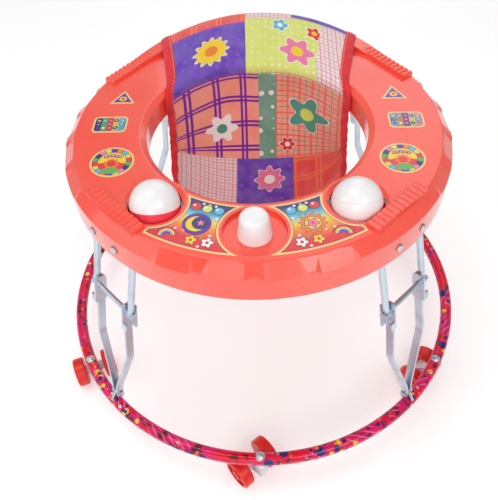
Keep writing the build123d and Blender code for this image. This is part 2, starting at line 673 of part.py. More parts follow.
def cover_plan(outward):
    """Space over the tray's back between the cover's slanting side edges, grown sideways."""
    near = CLOTH_TAPER[1]
    bend = math.sqrt(HOLE_RADIUS ** 2 - CLOTH_WELL_HALF_WIDTH ** 2)
    far = TRAY_RADIUS + 4 * CLOTH_THICK
    half_near = CLOTH_WELL_HALF_WIDTH + outward
    half_far = CLOTH_BACK_HALF_WIDTH + outward
    right = [(half_near, near), (half_near, bend), (half_far, far)]
    left = [(-x, y) for x, y in reversed(right)]
    outline = Polygon(*right, *left, align=None)
    return Pos(0, 0, TRAY_Z) * extrude(outline, TRAY_HEIGHT + 3 * CREST_RISE)


def sling_form(grow):
    """Bowl with two lobes that bag out beside the back's crease, grown by a distance."""
    rim = HOLE_RADIUS - CLOTH_OVERHANG - CLOTH_THICK / 2
    right = [(rim * out, -CLOTH_SEAT_DROP * down) for out, down in CLOTH_CURVE]
    right.append((rim, CLOTH_SEAT_DROP))
    left = [(-x, z) for x, z in reversed(right)]
    outline = offset(Polygon(*right, *left, align=None), grow, kind=Kind.INTERSECTION)
    half = outline & Pos(rim, 0) * Rectangle(2 * rim, 4 * CLOTH_SEAT_DROP)
    form = revolve(Plane.XZ * half, Axis.Z)
    for side in (-1, 1):
        lobe = Sphere(LOBE_RADIUS + grow)
        form += Pos(*polar(LOBE_DISTANCE, side * LOBE_AZIMUTH, -LOBE_DROP)) * lobe
    return Pos(0, 0, TRAY_TOP) * form


def sling_bowl(thick):
    """Open bowl that the hanging sling and its tapes are cut from."""
    return sling_form(thick / 2) - sling_form(-thick / 2)


def sling_plan(outward):
    """Space below the cover's top and between the sling's side edges, grown sideways."""
    crotch = CLOTH_CROTCH_HALF_WIDTH + outward
    well = CLOTH_WELL_HALF_WIDTH + outward
    taper_front, taper_back = CLOTH_TAPER
    right = [(crotch, -HOLE_RADIUS), (crotch, taper_front), (well, taper_back), (well, HOLE_RADIUS)]
    left = [(-x, y) for x, y in reversed(right)]
    high = TRAY_TOP + SEAT_GAP + CLOTH_THICK
    low = TRAY_TOP - 2 * CLOTH_SEAT_DROP
    return Pos(0, 0, low) * extrude(Polygon(*right, *left, align=None), high - low)


def above_front(height):
    """Space over the front half of the seat, from a height upward."""
    size = 2 * HOLE_RADIUS
    return Pos(0, -size / 2, height + size / 2) * Box(size, size, size)


def seat_sling():
    """Sewn cloth seat: cover over the tray's back and the sling that hangs in the hole."""
    sling = sling_bowl(CLOTH_THICK) & sling_plan(0.0)
    sling -= above_front(TRAY_TOP - CLOTH_FRONT_BELOW)
    seat = (back_cover(CLOTH_THICK) & cover_plan(0.0)) + sling
    for place in stud_places():
        seat -= place * Cylinder(STUD_POST / 2 + RUN, 6 * TRAY_WALL)
    return seat


def seat_binding():
    """Tape sewn round both side edges of the seat, from the back's flap to the front of the well."""
    outer = SIDE_GAP + BINDING_WIDTH
    tape = sling_bowl(BINDING_THICK) & sling_plan(outer)
    tape -= sling_plan(SIDE_GAP)
    tape -= above_front(TRAY_TOP - CLOTH_FRONT_BELOW)
    tape += (back_cover(BINDING_THICK) & cover_plan(outer)) - cover_plan(SIDE_GAP)
    return list(tape.solids())


def stud_places():
    """Axes of the press studs that hold the sling's front edge inside the well."""
    rim = HOLE_RADIUS - CLOTH_OVERHANG
    z = TRAY_TOP - CLOTH_FRONT_BELOW - STUD_DIAMETER
    places = []
    for side in (-1, 1):
        azimuth = side * math.degrees(math.asin(STUD_SPREAD / rim))
        places.append(Pos(*polar(rim, azimuth, z)) * Rot(0, 0, azimuth) * Rot(90, 0, 0))
    return places


def seat_studs():
    """Press studs: cap on the cloth, post through cloth and tray wall."""
    studs = []
    cap_low = -CLOTH_THICK - SEAT_GAP - STUD_RISE
    cap = disc(STUD_DIAMETER / 2, cap_low, cap_low + STUD_RISE)
    post = disc(STUD_POST / 2, cap_low + STUD_RISE, CLOTH_OVERHANG + TRAY_WALL)
    for place in stud_places():
        studs.append(place * (cap + post))
    return studs


def nodes():
    """Every piece of the walker by node name."""
    built = {
        "base_ring": [base_ring()],
        "caster_stems": caster_stems(),
        "caster_bushes": caster_bushes(),
        "ring_lugs": [],
        "pivot_pins": [],
        "hinge_brackets": [],
        "tray_screws": [],
    }
    for index in range(CASTER_COUNT):
        built[f"caster_fork_{index + 1}"] = [at_caster(caster_fork(), index)]
        built[f"caster_axle_{index + 1}"] = [at_caster(caster_axle(), index)]
        built[f"caster_wheels_{index + 1}"] = [at_caster(w, index) for w in caster_wheels()]
    for leg, azimuth in LEG_AZIMUTHS.items():
        travel = 0.0 if leg == FITTED_LEG else HINGE_SLOT_TRAVEL
        built["ring_lugs"].append(turned(ring_lug(), azimuth))
        built["pivot_pins"].append(turned(pivot_pin(), azimuth))
        built["hinge_brackets"].append(turned(hinge_bracket(travel), azimuth))
        built[f"lower_strut_{leg}"] = [turned(lower_strut(s), azimuth) for s in (-1, 1)]
        built[f"knee_rod_{leg}"] = [turned(knee_rod(), azimuth)]
        built[f"upper_bow_{leg}"] = [turned(upper_bow(), azimuth)]
        for offset in screw_azimuths():
            built["tray_screws"].append(turned(tray_screw(), azimuth + offset))
    built["tray_shell"] = [tray_shell()]
    built["tray_stickers"] = tray_stickers()
    for name, side in (("left", -1), ("right", 1)):
        upper, lower = ball_halves(side)
        built[f"ball_{name}_upper"] = [upper]
        built[f"ball_{name}_lower"] = [lower]
    built["ball_axles"] = ball_axles()
    built["centre_knob"] = [centre_knob()]
    built["knob_spindle"] = [knob_spindle()]
    built["seat_sling"] = [seat_sling()]
    built["seat_binding"] = seat_binding()
    built["seat_studs"] = seat_studs()
    return built


def main():
    """Write one STEP file per node."""
    os.makedirs("parts", exist_ok=True)
    for name, solids in nodes().items():
        shape = solids[0] if len(solids) == 1 else Compound(children=list(solids))
        export_step(shape, os.path.join("parts", f"{name}.step"))


if __name__ == "__main__":
    main()
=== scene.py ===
"""Looks of a round folding baby walker: finishes, sewn sling seat, printed labels, studio."""

import logging
import math
from dataclasses import dataclass, replace
from enum import Enum
from typing import Callable, Iterable, Sequence, Union

import bpy
from mathutils import Matrix, Vector, noise


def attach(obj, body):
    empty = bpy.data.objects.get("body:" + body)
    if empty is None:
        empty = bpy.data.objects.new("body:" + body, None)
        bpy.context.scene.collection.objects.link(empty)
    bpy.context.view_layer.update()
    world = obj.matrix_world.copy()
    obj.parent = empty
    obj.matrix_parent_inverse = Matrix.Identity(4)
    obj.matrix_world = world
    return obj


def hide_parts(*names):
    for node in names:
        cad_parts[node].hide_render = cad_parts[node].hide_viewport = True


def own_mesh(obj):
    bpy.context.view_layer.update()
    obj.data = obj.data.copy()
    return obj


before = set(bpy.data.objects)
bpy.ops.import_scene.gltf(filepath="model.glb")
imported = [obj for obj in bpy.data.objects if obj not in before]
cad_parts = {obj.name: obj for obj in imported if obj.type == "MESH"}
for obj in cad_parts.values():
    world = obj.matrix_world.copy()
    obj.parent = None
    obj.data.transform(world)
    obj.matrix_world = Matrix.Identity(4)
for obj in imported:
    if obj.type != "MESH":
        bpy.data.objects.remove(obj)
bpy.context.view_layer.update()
LOG = logging.getLogger("walker")

MM = 0.001
Colour = tuple[float, float, float, float]
Value = Union[float, str, Sequence[float], bpy.types.NodeSocket, bpy.types.Node]


class Dim:
    """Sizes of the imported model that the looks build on, in metres."""

    RING_RADIUS = 0.280
    RING_Z = 0.0603
    TUBE_RADIUS = 0.008
    TRAY_TOP = 0.3703
    TRAY_RADIUS = 0.227
    HOLE_RADIUS = 0.131
    CREST_RISE = 0.020
    CREST_ARCH = 0.640
    EDGE_DROP = 0.010
    LABEL_THICK = 0.0006
    CLOTH_RIM = 0.1258
    CLOTH_DROP = 0.150
    CLOTH_FLAP = 0.024
    CLOTH_FRONT_BELOW = 0.012
    CLOTH_HALF_WELL = 0.1173
    CLOTH_HALF_BACK = 0.136
    CLOTH_HALF_FRONT = 0.0683
    CLOTH_BEND = 0.143
    CLOTH_TAPER = (-0.055, 0.020)
    LOBE = (0.0471, 0.1228, -0.0525)


class Ink(Enum):
    """Print colours of labels, cloth and tube film."""

    CREAM = "#F5CF88"
    NAVY = "#23206E"
    TEAL = "#4E9A86"
    SKY = "#58B8DC"
    LIME = "#D8E060"
    YELLOW = "#F8D020"
    ORANGE = "#F4802A"
    RED = "#E8202C"
    PINK = "#F07CA8"
    VIOLET = "#6018B0"
    WHITE = "#FAF6F2"
    GREEN = "#58B050"


def linear(hex_code: str) -> Colour:
    """Turn an sRGB hex code into a linear colour.

    Args:
        hex_code: Colour such as "#F5CF88".
    Returns:
        Linear red, green, blue and an alpha of one.
    """
    digits = hex_code.lstrip("#")
    parts = [int(digits[i:i + 2], 16) / 255 for i in (0, 2, 4)]
    line = [c / 12.92 if c <= 0.04045 else ((c + 0.055) / 1.055) ** 2.4 for c in parts]
    return (line[0], line[1], line[2], 1.0)


def scale(size_mm: float) -> float:
    """Texture scale that gives a pattern a real size in millimetres."""
    return 1 / (size_mm * MM)


class Shader:
    """Node tree of one material, with one way to add nodes."""

    def __init__(self, name: str) -> None:
        """Start a material.

        Args:
            name: Name of the real material.
        """
        self.material = bpy.data.materials.new(name)
        self.material.use_nodes = True
        self.tree = self.material.node_tree
        self.tree.nodes.clear()
        places = self.add("TexCoord").outputs
        self.place = places["Object"]
        self.flat = places["UV"]

    def add(self, kind: str, *inputs: Value, **settings: Value) -> bpy.types.Node:
        """Add a node, set it up and wire it; a node as an input stands for its first output in use.

        Args:
            kind: Node type without its "ShaderNode" prefix.
            inputs: Constants or links for the sockets in use, in their order.
            settings: Node properties, and constants or links by socket name with underscores for spaces.
        Returns:
            The new node.
        """
        node = self.tree.nodes.new("ShaderNode" + kind)
        named = {key: value for key, value in settings.items() if key not in node.bl_rna.properties}
        for key, value in settings.items():
            if key not in named:
                setattr(node, key, value)
        pairs = list(zip([socket for socket in node.inputs if socket.enabled], inputs))
        pairs += [(node.inputs[key.replace("_", " ")], value) for key, value in named.items()]
        for socket, value in pairs:
            if isinstance(value, bpy.types.Node):
                value = next(out for out in value.outputs if out.enabled)
            if isinstance(value, bpy.types.NodeSocket):
                self.tree.links.new(value, socket)
            else:
                socket.default_value = value
        return node

    def scuffs(self) -> bpy.types.Node:
        """Share of light scuffs from handling."""
        return self.add("MapRange", self.add("TexNoise", self.place, scale(9), 4), 0.35, 0.8)

    def specks(self) -> bpy.types.Node:
        """Share of pale specks in a printed ink, coarser than real ones so that they show."""
        speck = self.add("MapRange", self.add("TexNoise", self.place, scale(0.5), 1), 0.55, 0.75)
        return self.add("Math", speck, 0.12, operation="MULTIPLY")

    def finish(self, surface: bpy.types.Node) -> bpy.types.Material:
        """Give the material its surface."""
        self.add("OutputMaterial", Surface=surface)
        return self.material


@dataclass(frozen=True)
class MouldedPlastic:
    """Injection-moulded plastic with a faint grain, drifting colour and rounded edges."""

    name: str
    colour: str
    shade: str
    roughness: float = 0.3
    # A mould's spark grain is finer; this is as coarse as it needs to be to show.
    grain_mm: float = 0.5
    depth_mm: float = 0.012
    edge_mm: float = 1.0
    glow: float = 0.0
    coat: float = 0.0

    def build(self) -> bpy.types.Material:
        """Make the material.

        Returns:
            The finish for a mesh.
        """
        s = Shader(self.name)
        drift = s.add("MapRange", s.add("TexNoise", s.place, scale(60), 3), 0.3, 0.7)
        colour = s.add("Mix", drift, linear(self.colour), linear(self.shade), data_type="RGBA")
        rough = s.add("Math", s.scuffs(), 0.12, self.roughness - 0.03, operation="MULTIPLY_ADD")
        edge = s.add("Bevel", Radius=self.edge_mm * MM, samples=4)
        grain = s.add("TexNoise", s.place, scale(self.grain_mm), 3)
        normal = s.add("Bump", Height=grain, Distance=self.depth_mm * MM, Normal=edge)
        return s.finish(s.add("BsdfPrincipled", Base_Color=colour, Roughness=rough, Normal=normal,
                              Coat_Weight=self.coat, Coat_Roughness=0.08, Subsurface_Weight=self.glow,
                              Subsurface_Radius=(0.006, 0.002, 0.001), Subsurface_Scale=0.6))


@dataclass(frozen=True)
class ToyBall:
    """Two glossy moulded cups joined on a tilted seam, with fine lines beside it."""

    name: str
    centre: tuple[float, float, float]
    upper: str = "#F8F5F6"
    lower: str = "#F8F5F6"
    line: str = "#A8A0B0"
    tilt_degrees: float = 22.0
    line_mm: float = 8.5

    def build(self) -> bpy.types.Material:
        """Make the material.

        Returns:
            The finish for both cups.
        """
        s = Shader(self.name)
        tilt = math.radians(self.tilt_degrees)
        off = s.add("VectorMath", s.place, self.centre, operation="SUBTRACT")
        height = s.add("VectorMath", off, (0, math.sin(tilt), math.cos(tilt)), operation="DOT_PRODUCT")
        above = s.add("MapRange", height, -0.2 * MM, 0.2 * MM)
        colour = s.add("Mix", above, linear(self.lower), linear(self.upper), data_type="RGBA")
        level = s.add("Math", height, operation="ABSOLUTE")
        apart = s.add("Math", level, self.line_mm * MM, operation="SUBTRACT")
        groove = s.add("MapRange", s.add("Math", apart, operation="ABSOLUTE"), 0.6 * MM, 0.2 * MM)
        faint = s.add("Math", groove, 0.22, operation="MULTIPLY")
        colour = s.add("Mix", faint, colour, linear(self.line), data_type="RGBA")
        rough = s.add("Math", s.scuffs(), 0.1, 0.18, operation="MULTIPLY_ADD")
        normal = s.add("Bump", Height=groove, Distance=-0.15 * MM)
        return s.finish(s.add("BsdfPrincipled", Base_Color=colour, Roughness=rough, Normal=normal,
                              Coat_Weight=0.3, Coat_Roughness=0.08))


@dataclass(frozen=True)
class PlatedSteel:
    """Bright zinc on drawn or pressed steel, with draw lines and dull blotches."""

    name: str
    colour: str = "#C9D3DE"
    dull: str = "#93A1B0"
    roughness: float = 0.3
    edge_mm: float = 0.4
    # Real draw lines are hair-fine; these are as coarse as they need to be to show.
    line_mm: float = 0.9

    def build(self) -> bpy.types.Material:
        """Make the material.

        Returns:
            The finish for a mesh.
        """
        s = Shader(self.name)
        blotch = s.add("MapRange", s.add("TexNoise", s.place, scale(22), 3), 0.45, 0.8)
        faint = s.add("Math", blotch, 0.5, operation="MULTIPLY")
        colour = s.add("Mix", faint, linear(self.colour), linear(self.dull), data_type="RGBA")
        drawn = s.add("Mapping", s.place, Scale=(1, 1, 0.05))
        lines = s.add("TexNoise", drawn, scale(self.line_mm), 2)
        rough = s.add("Math", blotch, 0.08, self.roughness, operation="MULTIPLY_ADD")
        edge = s.add("Bevel", Radius=self.edge_mm * MM, samples=4)
        normal = s.add("Bump", Height=lines, Distance=0.01 * MM, Normal=edge)
        return s.finish(s.add("BsdfPrincipled", Base_Color=colour, Metallic=1.0, Roughness=rough,
                              Normal=normal))


@dataclass(frozen=True)
class PrintedTube:
    """Glossy printed film on the ring: slanting streaks, scattered confetti, and a painted reflection that
    pales the tube's lower side.
    """

    name: str
    streak_mm: float = 13.0
    slant: float = 1.4
    spot_mm: float = 17.0
    wobble_mm: tuple[float, float] = (6.0, 4.0)
    grounds: tuple[str, str] = ("#E60022", "#DE0868")
    shadow: str = "#2E0310"
    streaks: str = "#F45C98"
    # Pale pink of the painted reflection along the tube's lower side.
    painted_sheen: str = "#F08CC4"
    spots: tuple[tuple[float, Ink, float, float], ...] = (
        (1.0, Ink.NAVY, 0.36, 0.42), (0.66, Ink.YELLOW, 0.30, 0.50), (0.62, Ink.WHITE, 0.20, 0.80),
        (0.45, Ink.NAVY, 0.34, 0.42), (0.5, Ink.ORANGE, 0.28, 0.62))

    def build(self) -> bpy.types.Material:
        """Make the material.

        Returns:
            The finish for the ring.
        """
        s = Shader(self.name)
        along, around, flat = self.unrolled(s)
        drift = s.add("MapRange", s.add("TexNoise", flat, scale(38), 2), 0.40, 0.60)
        colour = s.add("Mix", drift, *(linear(ground) for ground in self.grounds), data_type="RGBA")
        dark = s.add("MapRange", s.add("TexNoise", flat, scale(17), 3), 0.54, 0.64)
        dark = s.add("Math", dark, 0.85, operation="MULTIPLY")
        colour = s.add("Mix", dark, colour, linear(self.shadow), data_type="RGBA")
        slant = s.add("Math", around, self.slant, along, operation="MULTIPLY_ADD")
        slant = s.add("Math", slant, 2 * math.pi * scale(self.streak_mm), operation="MULTIPLY")
        lines = s.add("MapRange", s.add("Math", slant, operation="SINE"), 0.55, 0.85)
        broken = s.add("MapRange", s.add("TexNoise", flat, scale(40), 1), 0.54, 0.60)
        streak = s.add("Math", lines, broken, operation="MULTIPLY")
        colour = s.add("Mix", streak, colour, linear(self.streaks), data_type="RGBA")
        # Painted reflection: the tube's lower side is mixed half way to the pale pink, standing in for light
        # off the floor.
        under = s.add("Math", s.add("MapRange", around, 4 * MM, -3 * MM), 0.5, operation="MULTIPLY")
        colour = s.add("Mix", under, colour, linear(self.painted_sheen), data_type="RGBA")
        cluster = s.add("MapRange", s.add("TexNoise", flat, scale(46), 2), 0.47, 0.53)
        for size, ink, low, density in self.spots:
            shifted = s.add("Mapping", flat, Location=(size, 2.3 * size, 0))
            wobble = s.add("TexNoise", shifted, scale(self.wobble_mm[0])).outputs["Color"]
            swayed = s.add("VectorMath", wobble, Scale=self.wobble_mm[1] * MM, operation="SCALE")
            moved = s.add("VectorMath", shifted, swayed, operation="ADD")
            cells = s.add("TexVoronoi", moved, Scale=scale(self.spot_mm * size))
            disc = s.add("MapRange", cells, low + 0.04, low)
            drawn = s.add("SeparateColor", cells.outputs["Color"])
            chosen = s.add("MapRange", drawn, density - 0.01, density + 0.01)
            spot = s.add("Math", s.add("Math", disc, chosen, operation="MULTIPLY"), cluster,
                         operation="MULTIPLY")
            colour = s.add("Mix", spot, colour, linear(ink.value), data_type="RGBA")
        stretched = s.add("Mapping", flat, Scale=(0.25, 1, 1))
        normal = s.add("Bump", Height=s.add("TexNoise", stretched, scale(7), 3), Distance=0.12 * MM)
        return s.finish(s.add("BsdfPrincipled", Base_Color=colour, Roughness=0.24, Normal=normal,
                              Specular_IOR_Level=0.3, Coat_Weight=0.3, Coat_Roughness=0.08))

    @staticmethod
    def unrolled(s: Shader) -> tuple[bpy.types.Node, bpy.types.Node, bpy.types.Node]:
        """Roll the tube's skin out flat, in metres.

        Args:
            s: Shader of the film.
        Returns:
            The place along the tube, the place around it, and both as a vector.
        """
        x, y, z = s.add("SeparateXYZ", s.place).outputs
        turn = s.add("Math", y, x, operation="ARCTAN2")
        along = s.add("Math", turn, Dim.RING_RADIUS, operation="MULTIPLY")
        reach = s.add("VectorMath", s.add("CombineXYZ", x, y), operation="LENGTH")
        out = s.add("Math", reach, Dim.RING_RADIUS, operation="SUBTRACT")
        rise = s.add("Math", z, Dim.RING_Z, operation="SUBTRACT")
        angle = s.add("Math", rise, out, operation="ARCTAN2")
        around = s.add("Math", angle, Dim.TUBE_RADIUS, operation="MULTIPLY")
        return along, around, s.add("CombineXYZ", along, around)


class Print(Enum):
    """Pattern printed on a patch of the seat's cloth."""

    CHECK = 1
    PLAID = 2
    DOTS = 3


@dataclass(frozen=True)
class Motif:
    """Flower, sun or star printed on the cloth, placed on the flat cut in millimetres."""

    across: float
    along: float
    radius: float
    petals: int
    depth: float
    ink: Ink

    def share(self, s: Shader, u: Value, v: Value) -> bpy.types.Node:
        """Draw the motif.

        Args:
            s: Shader of the cloth.
            u: Place across the flat cloth.
            v: Place along the flat cloth.
        Returns:
            Its cover, from zero to one.
        """
        right = s.add("Math", u, self.across * MM, operation="SUBTRACT")
        down = s.add("Math", v, self.along * MM, operation="SUBTRACT")
        reach = s.add("VectorMath", s.add("CombineXYZ", right, down), operation="LENGTH")
        angle = s.add("Math", down, right, operation="ARCTAN2")
        swing = s.add("Math", s.add("Math", angle, float(self.petals), operation="MULTIPLY"),
                      operation="COSINE")
        edge = s.add("Math", swing, self.depth * self.radius * MM, self.radius * MM,
                     operation="MULTIPLY_ADD")
        return s.add("MapRange", s.add("Math", reach, edge, operation="SUBTRACT"), 0.4 * MM, -0.4 * MM)


@dataclass(frozen=True)
class PatchCloth:
    """Printed plain-weave cotton, matt and a little washed out, with painted shade in the weave; UV is metres
    on the flat cloth.
    """

    name: str
    ground: str
    accent: str
    pattern: Print
    pitch_mm: float = 12.0
    second: str = "#FFFFFF"
    # Near-black brown of the painted shade between the yarns.
    gap: str = "#271919"
    # Real yarn is about half as wide; this is as coarse as it needs to be to show.
    yarn_mm: float = 0.9
    motifs: tuple[Motif, ...] = ()

    def build(self) -> bpy.types.Material:
        """Make the material.

        Returns:
            The finish for one field of the cloth.
        """
        s = Shader(self.name)
        u, v, _ = s.add("SeparateXYZ", s.flat).outputs
        washed = s.add("MapRange", s.add("TexNoise", s.flat, scale(28), 3), 0.25, 0.8)
        washed = s.add("Math", washed, 0.16, operation="MULTIPLY")
        colour = s.add("Mix", washed, linear(self.ground), linear("#FFFFFF"), data_type="RGBA")
        layers = self.marks(s, u, v)
        layers += [(motif.share(s, u, v), motif.ink.value) for motif in self.motifs]
        for share, ink in layers:
            colour = s.add("Mix", share, colour, linear(ink), data_type="RGBA")
        weave = self.weave(s, u, v)
        # Painted shade: the cloth darkens by up to a tenth towards the near-black brown, following the weave
        # pattern.
        between = s.add("Math", weave, 0.10, operation="MULTIPLY")
        colour = s.add("Mix", between, colour, linear(self.gap), data_type="RGBA")
        normal = s.add("Bump", Height=weave, Distance=0.12 * MM)
        return s.finish(s.add("BsdfPrincipled", Base_Color=colour, Roughness=0.82, Normal=normal,
                              Sheen_Weight=0.25, Sheen_Roughness=0.5))

    def weave(self, s: Shader, u: Value, v: Value) -> bpy.types.Node:
        """Lay a plain weave.

        Args:
            s: Shader of the cloth.
            u: Place across the flat cloth.
            v: Place along the flat cloth.
        Returns:
            Its height, from zero to one.
        """
        waves = []
        for along in (u, v):
            turn = s.add("Math", along, 2 * math.pi * scale(self.yarn_mm), operation="MULTIPLY")
            waves.append(s.add("Math", turn, operation="SINE"))
        crossed = s.add("Math", *waves, operation="MULTIPLY")
        return s.add("Math", crossed, 0.5, 0.5, operation="MULTIPLY_ADD")

    def stripe(self, s: Shader, along: Value, width: float, shift: float = 0.0) -> bpy.types.Node:
        """Draw one line per pitch.

        Args:
            s: Shader of the cloth.
            along: Place across or along the flat cloth.
            width: Line width as a share of the pitch.
            shift: Shift of the lines as a share of the pitch.
        Returns:
            The lines' cover, from zero to one.
        """
        step = s.add("Math", along, scale(self.pitch_mm), shift, operation="MULTIPLY_ADD")
        part = s.add("Math", step, operation="FRACT")
        off = s.add("Math", s.add("Math", part, 0.5, operation="SUBTRACT"), operation="ABSOLUTE")
        return s.add("MapRange", off, width / 2 + 0.02, width / 2)

    def marks(self, s: Shader, u: Value, v: Value) -> list[tuple[bpy.types.Node, str]]:
        """Draw the printed pattern.

        Args:
            s: Shader of the cloth.
            u: Place across the flat cloth.
            v: Place along the flat cloth.
        Returns:
            Cover and colour of each layer, from the bottom up.
        """
        if self.pattern is Print.CHECK:
            wide = [(self.stripe(s, along, 0.14), self.accent) for along in (u, v)]
            return wide + [(self.stripe(s, along, 0.05, 0.5), self.second) for along in (u, v)]
        if self.pattern is Print.PLAID:
            return [(self.stripe(s, along, 0.07, shift), self.accent)
                    for along in (u, v) for shift in (0.0, 0.16)]
        cells = s.add("TexVoronoi", s.add("CombineXYZ", u, v), Scale=scale(self.pitch_mm), Randomness=0.25)
        return [(s.add("MapRange", cells, 0.24, 0.21), self.accent)]


@dataclass(frozen=True)
class WovenTape:
    """Folded cotton tape, matt, with a rib across and a row of pale stitches."""

    name: str
    colour: str = "#F02230"
    shade: str = "#C8101C"
    thread: str = "#F8B8B0"
    rib_mm: float = 0.8
    stitch_mm: float = 4.0
    stitch_inset_mm: float = 13.5

    def build(self) -> bpy.types.Material:
        """Make the material.

        Returns:
            The finish for the tapes.
        """
        s = Shader(self.name)
        u, v, _ = s.add("SeparateXYZ", s.flat).outputs
        turn = s.add("Math", v, 2 * math.pi * scale(self.rib_mm), operation="MULTIPLY")
        rib = s.add("Math", turn, operation="SINE")
        drift = s.add("MapRange", s.add("TexNoise", s.place, scale(20), 3), 0.3, 0.75)
        colour = s.add("Mix", drift, linear(self.colour), linear(self.shade), data_type="RGBA")
        inset = s.add("Math", u, operation="ABSOLUTE")
        inset = s.add("Math", inset, self.stitch_inset_mm * MM, operation="SUBTRACT")
        row = s.add("MapRange", s.add("Math", inset, operation="ABSOLUTE"), 0.5 * MM, 0.35 * MM)
        step = s.add("Math", v, scale(self.stitch_mm), operation="MULTIPLY")
        dash = s.add("MapRange", s.add("Math", step, operation="FRACT"), 0.66, 0.62)
        stitch = s.add("Math", row, dash, operation="MULTIPLY")
        colour = s.add("Mix", stitch, colour, linear(self.thread), data_type="RGBA")
        raised = s.add("Math", stitch, 0.8, operation="MULTIPLY")
        height = s.add("Math", rib, 0.2, raised, operation="MULTIPLY_ADD")
        normal = s.add("Bump", Height=height, Distance=0.2 * MM)
        return s.finish(s.add("BsdfPrincipled", Base_Color=colour, Roughness=0.7, Normal=normal,
                              Sheen_Weight=0.3, Sheen_Roughness=0.4))


@dataclass(frozen=True)
class LabelInk:
    """One printed ink under the labels' clear film, bright and a little wavy."""

    ink: Ink

    def build(self) -> bpy.types.Material:
        """Make the material.

        Returns:
            The finish for the ink's shapes.
        """
        s = Shader(f"label_ink_{self.ink.name.lower()}")
        colour = s.add("Mix", s.specks(), linear(self.ink.value), linear("#FFFFFF"), data_type="RGBA")
        normal = s.add("Bump", Height=s.add("TexNoise", s.place, scale(16), 2), Distance=0.2 * MM)
        return s.finish(s.add("BsdfPrincipled", Base_Color=colour, Roughness=0.3, Normal=normal,
                              Coat_Weight=0.5, Coat_Roughness=0.1))


@dataclass(frozen=True)
class LabelSky:
    """Ground of the big labels: colours that run from the hole's side to the tray's edge."""

    name: str
    inks: tuple[Ink, ...]
    run_mm: tuple[float, float] = (145.0, 215.0)
    wave_mm: float = 14.0

    def build(self) -> bpy.types.Material:
        """Make the material.

        Returns:
            The finish for the big labels' grounds.
        """
        s = Shader(self.name)
        level = s.add("Mapping", s.place, Scale=(1, 1, 0))
        reach = s.add("VectorMath", level, operation="LENGTH")
        waves = s.add("TexNoise", s.place, scale(30), 1)
        wavy = s.add("Math", waves, self.wave_mm * MM, reach, operation="MULTIPLY_ADD")
        blend = s.add("ValToRGB", s.add("MapRange", wavy, *(end * MM for end in self.run_mm)))
        stops = blend.color_ramp.elements
        while len(stops) < len(self.inks):
            stops.new(0.5)
        for i, (stop, ink) in enumerate(zip(stops, self.inks)):
            stop.position = i / (len(self.inks) - 1)
            stop.color = linear(ink.value)
        colour = s.add("Mix", s.specks(), blend, linear(Ink.WHITE.value), data_type="RGBA")
        return s.finish(s.add("BsdfPrincipled", Base_Color=colour, Roughness=0.3, Coat_Weight=0.5,
                              Coat_Roughness=0.1))


@dataclass(frozen=True)
class StudioFloor:
    """Plain white floor; a share of its own light keeps it white where the camera sees it."""

    name: str = "studio_floor"
    colours: tuple[str, str] = ("#F4F4F4", "#F0F0F0")
    lift: float = 0.30

    def build(self) -> bpy.types.Material:
        """Make the material.

        Returns:
            The finish for the floor.
        """
        s = Shader(self.name)
        rays = s.add("LightPath").outputs
        seen = s.add("Math", rays["Is Camera Ray"], rays["Is Glossy Ray"], operation="MAXIMUM")
        seen = s.add("Math", seen, rays["Is Transmission Ray"], operation="MAXIMUM")
        tint = s.add("MapRange", s.add("TexNoise", s.place, scale(400), 2), 0.2, 0.8)
        colour = s.add("Mix", tint, *(linear(end) for end in self.colours), data_type="RGBA")
        light = s.add("Math", seen, self.lift, operation="MULTIPLY")
        return s.finish(s.add("BsdfPrincipled", Base_Color=colour, Roughness=0.8,
                              Emission_Color=linear("#FFFFFF"), Emission_Strength=light))


def dress(names: Iterable[str], material: bpy.types.Material) -> None:
    """Give CAD nodes a material.

    Args:
        names: Node names.
        material: Their new finish.
    """
    for name in names:
        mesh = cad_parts[name].data
        mesh.materials.clear()
        mesh.materials.append(material)
        LOG.info("%s: %s", name, material.name)


def mesh_object(name: str, points: Sequence[Sequence[float]], faces: Sequence[Sequence[int]],
                smooth: bool = True) -> bpy.types.Object:
    """Make a mesh object in the scene.

    Args:
        name: Object and mesh name.
        points: Vertices in metres, in the part's frame.
        faces: Vertex indices of each face.
        smooth: Whether faces are shaded smooth.
    Returns:
        The linked object.
    """
    mesh = bpy.data.meshes.new(name)
    mesh.from_pydata([tuple(p) for p in points], [], [tuple(f) for f in faces])
    mesh.polygons.foreach_set("use_smooth", [smooth] * len(mesh.polygons))
    made = bpy.data.objects.new(name, mesh)
    bpy.context.scene.collection.objects.link(made)
    LOG.info("%s: %d faces", name, len(faces))
    return made


def refine(obj: bpy.types.Object) -> None:
    """Put one level of subdivision on an object."""
    finer = obj.modifiers.new("finer", "SUBSURF")
    finer.levels = finer.render_levels = 1


def apply_modifiers(obj: bpy.types.Object) -> None:
    """Turn an object's modifiers into plain mesh.

    Args:
        obj: Object with modifiers.
    """
    graph = bpy.context.evaluated_depsgraph_get()
    mesh = bpy.data.meshes.new_from_object(obj.evaluated_get(graph), depsgraph=graph)
    obj.modifiers.clear()
    obj.data = mesh


@dataclass
class FloorRing:
    """Printed ring with its casters."""

    casters: int = 6

    def build(self) -> None:
        """Dress the ring, bushes and casters."""
        numbers = range(1, self.casters + 1)
        # Printed film on steel tube: wet gloss over streaks and bright confetti, with a painted reflection
        # paling the lower side.
        dress(["base_ring"], PrintedTube("printed_film_tube").build())
        # Moulded nylon: milky white and half matt.
        nylon = MouldedPlastic("white_nylon", "#EDEDF2", "#DCDCE6", roughness=0.38)
        dress(["caster_bushes", *(f"caster_fork_{n}" for n in numbers)], nylon.build())
        # Moulded polypropylene: strong red with a soft sheen and a little depth.
        red = MouldedPlastic("red_polypropylene", "#F0281A", "#E01810", glow=0.05)
        dress([f"caster_wheels_{n}" for n in numbers], red.build())


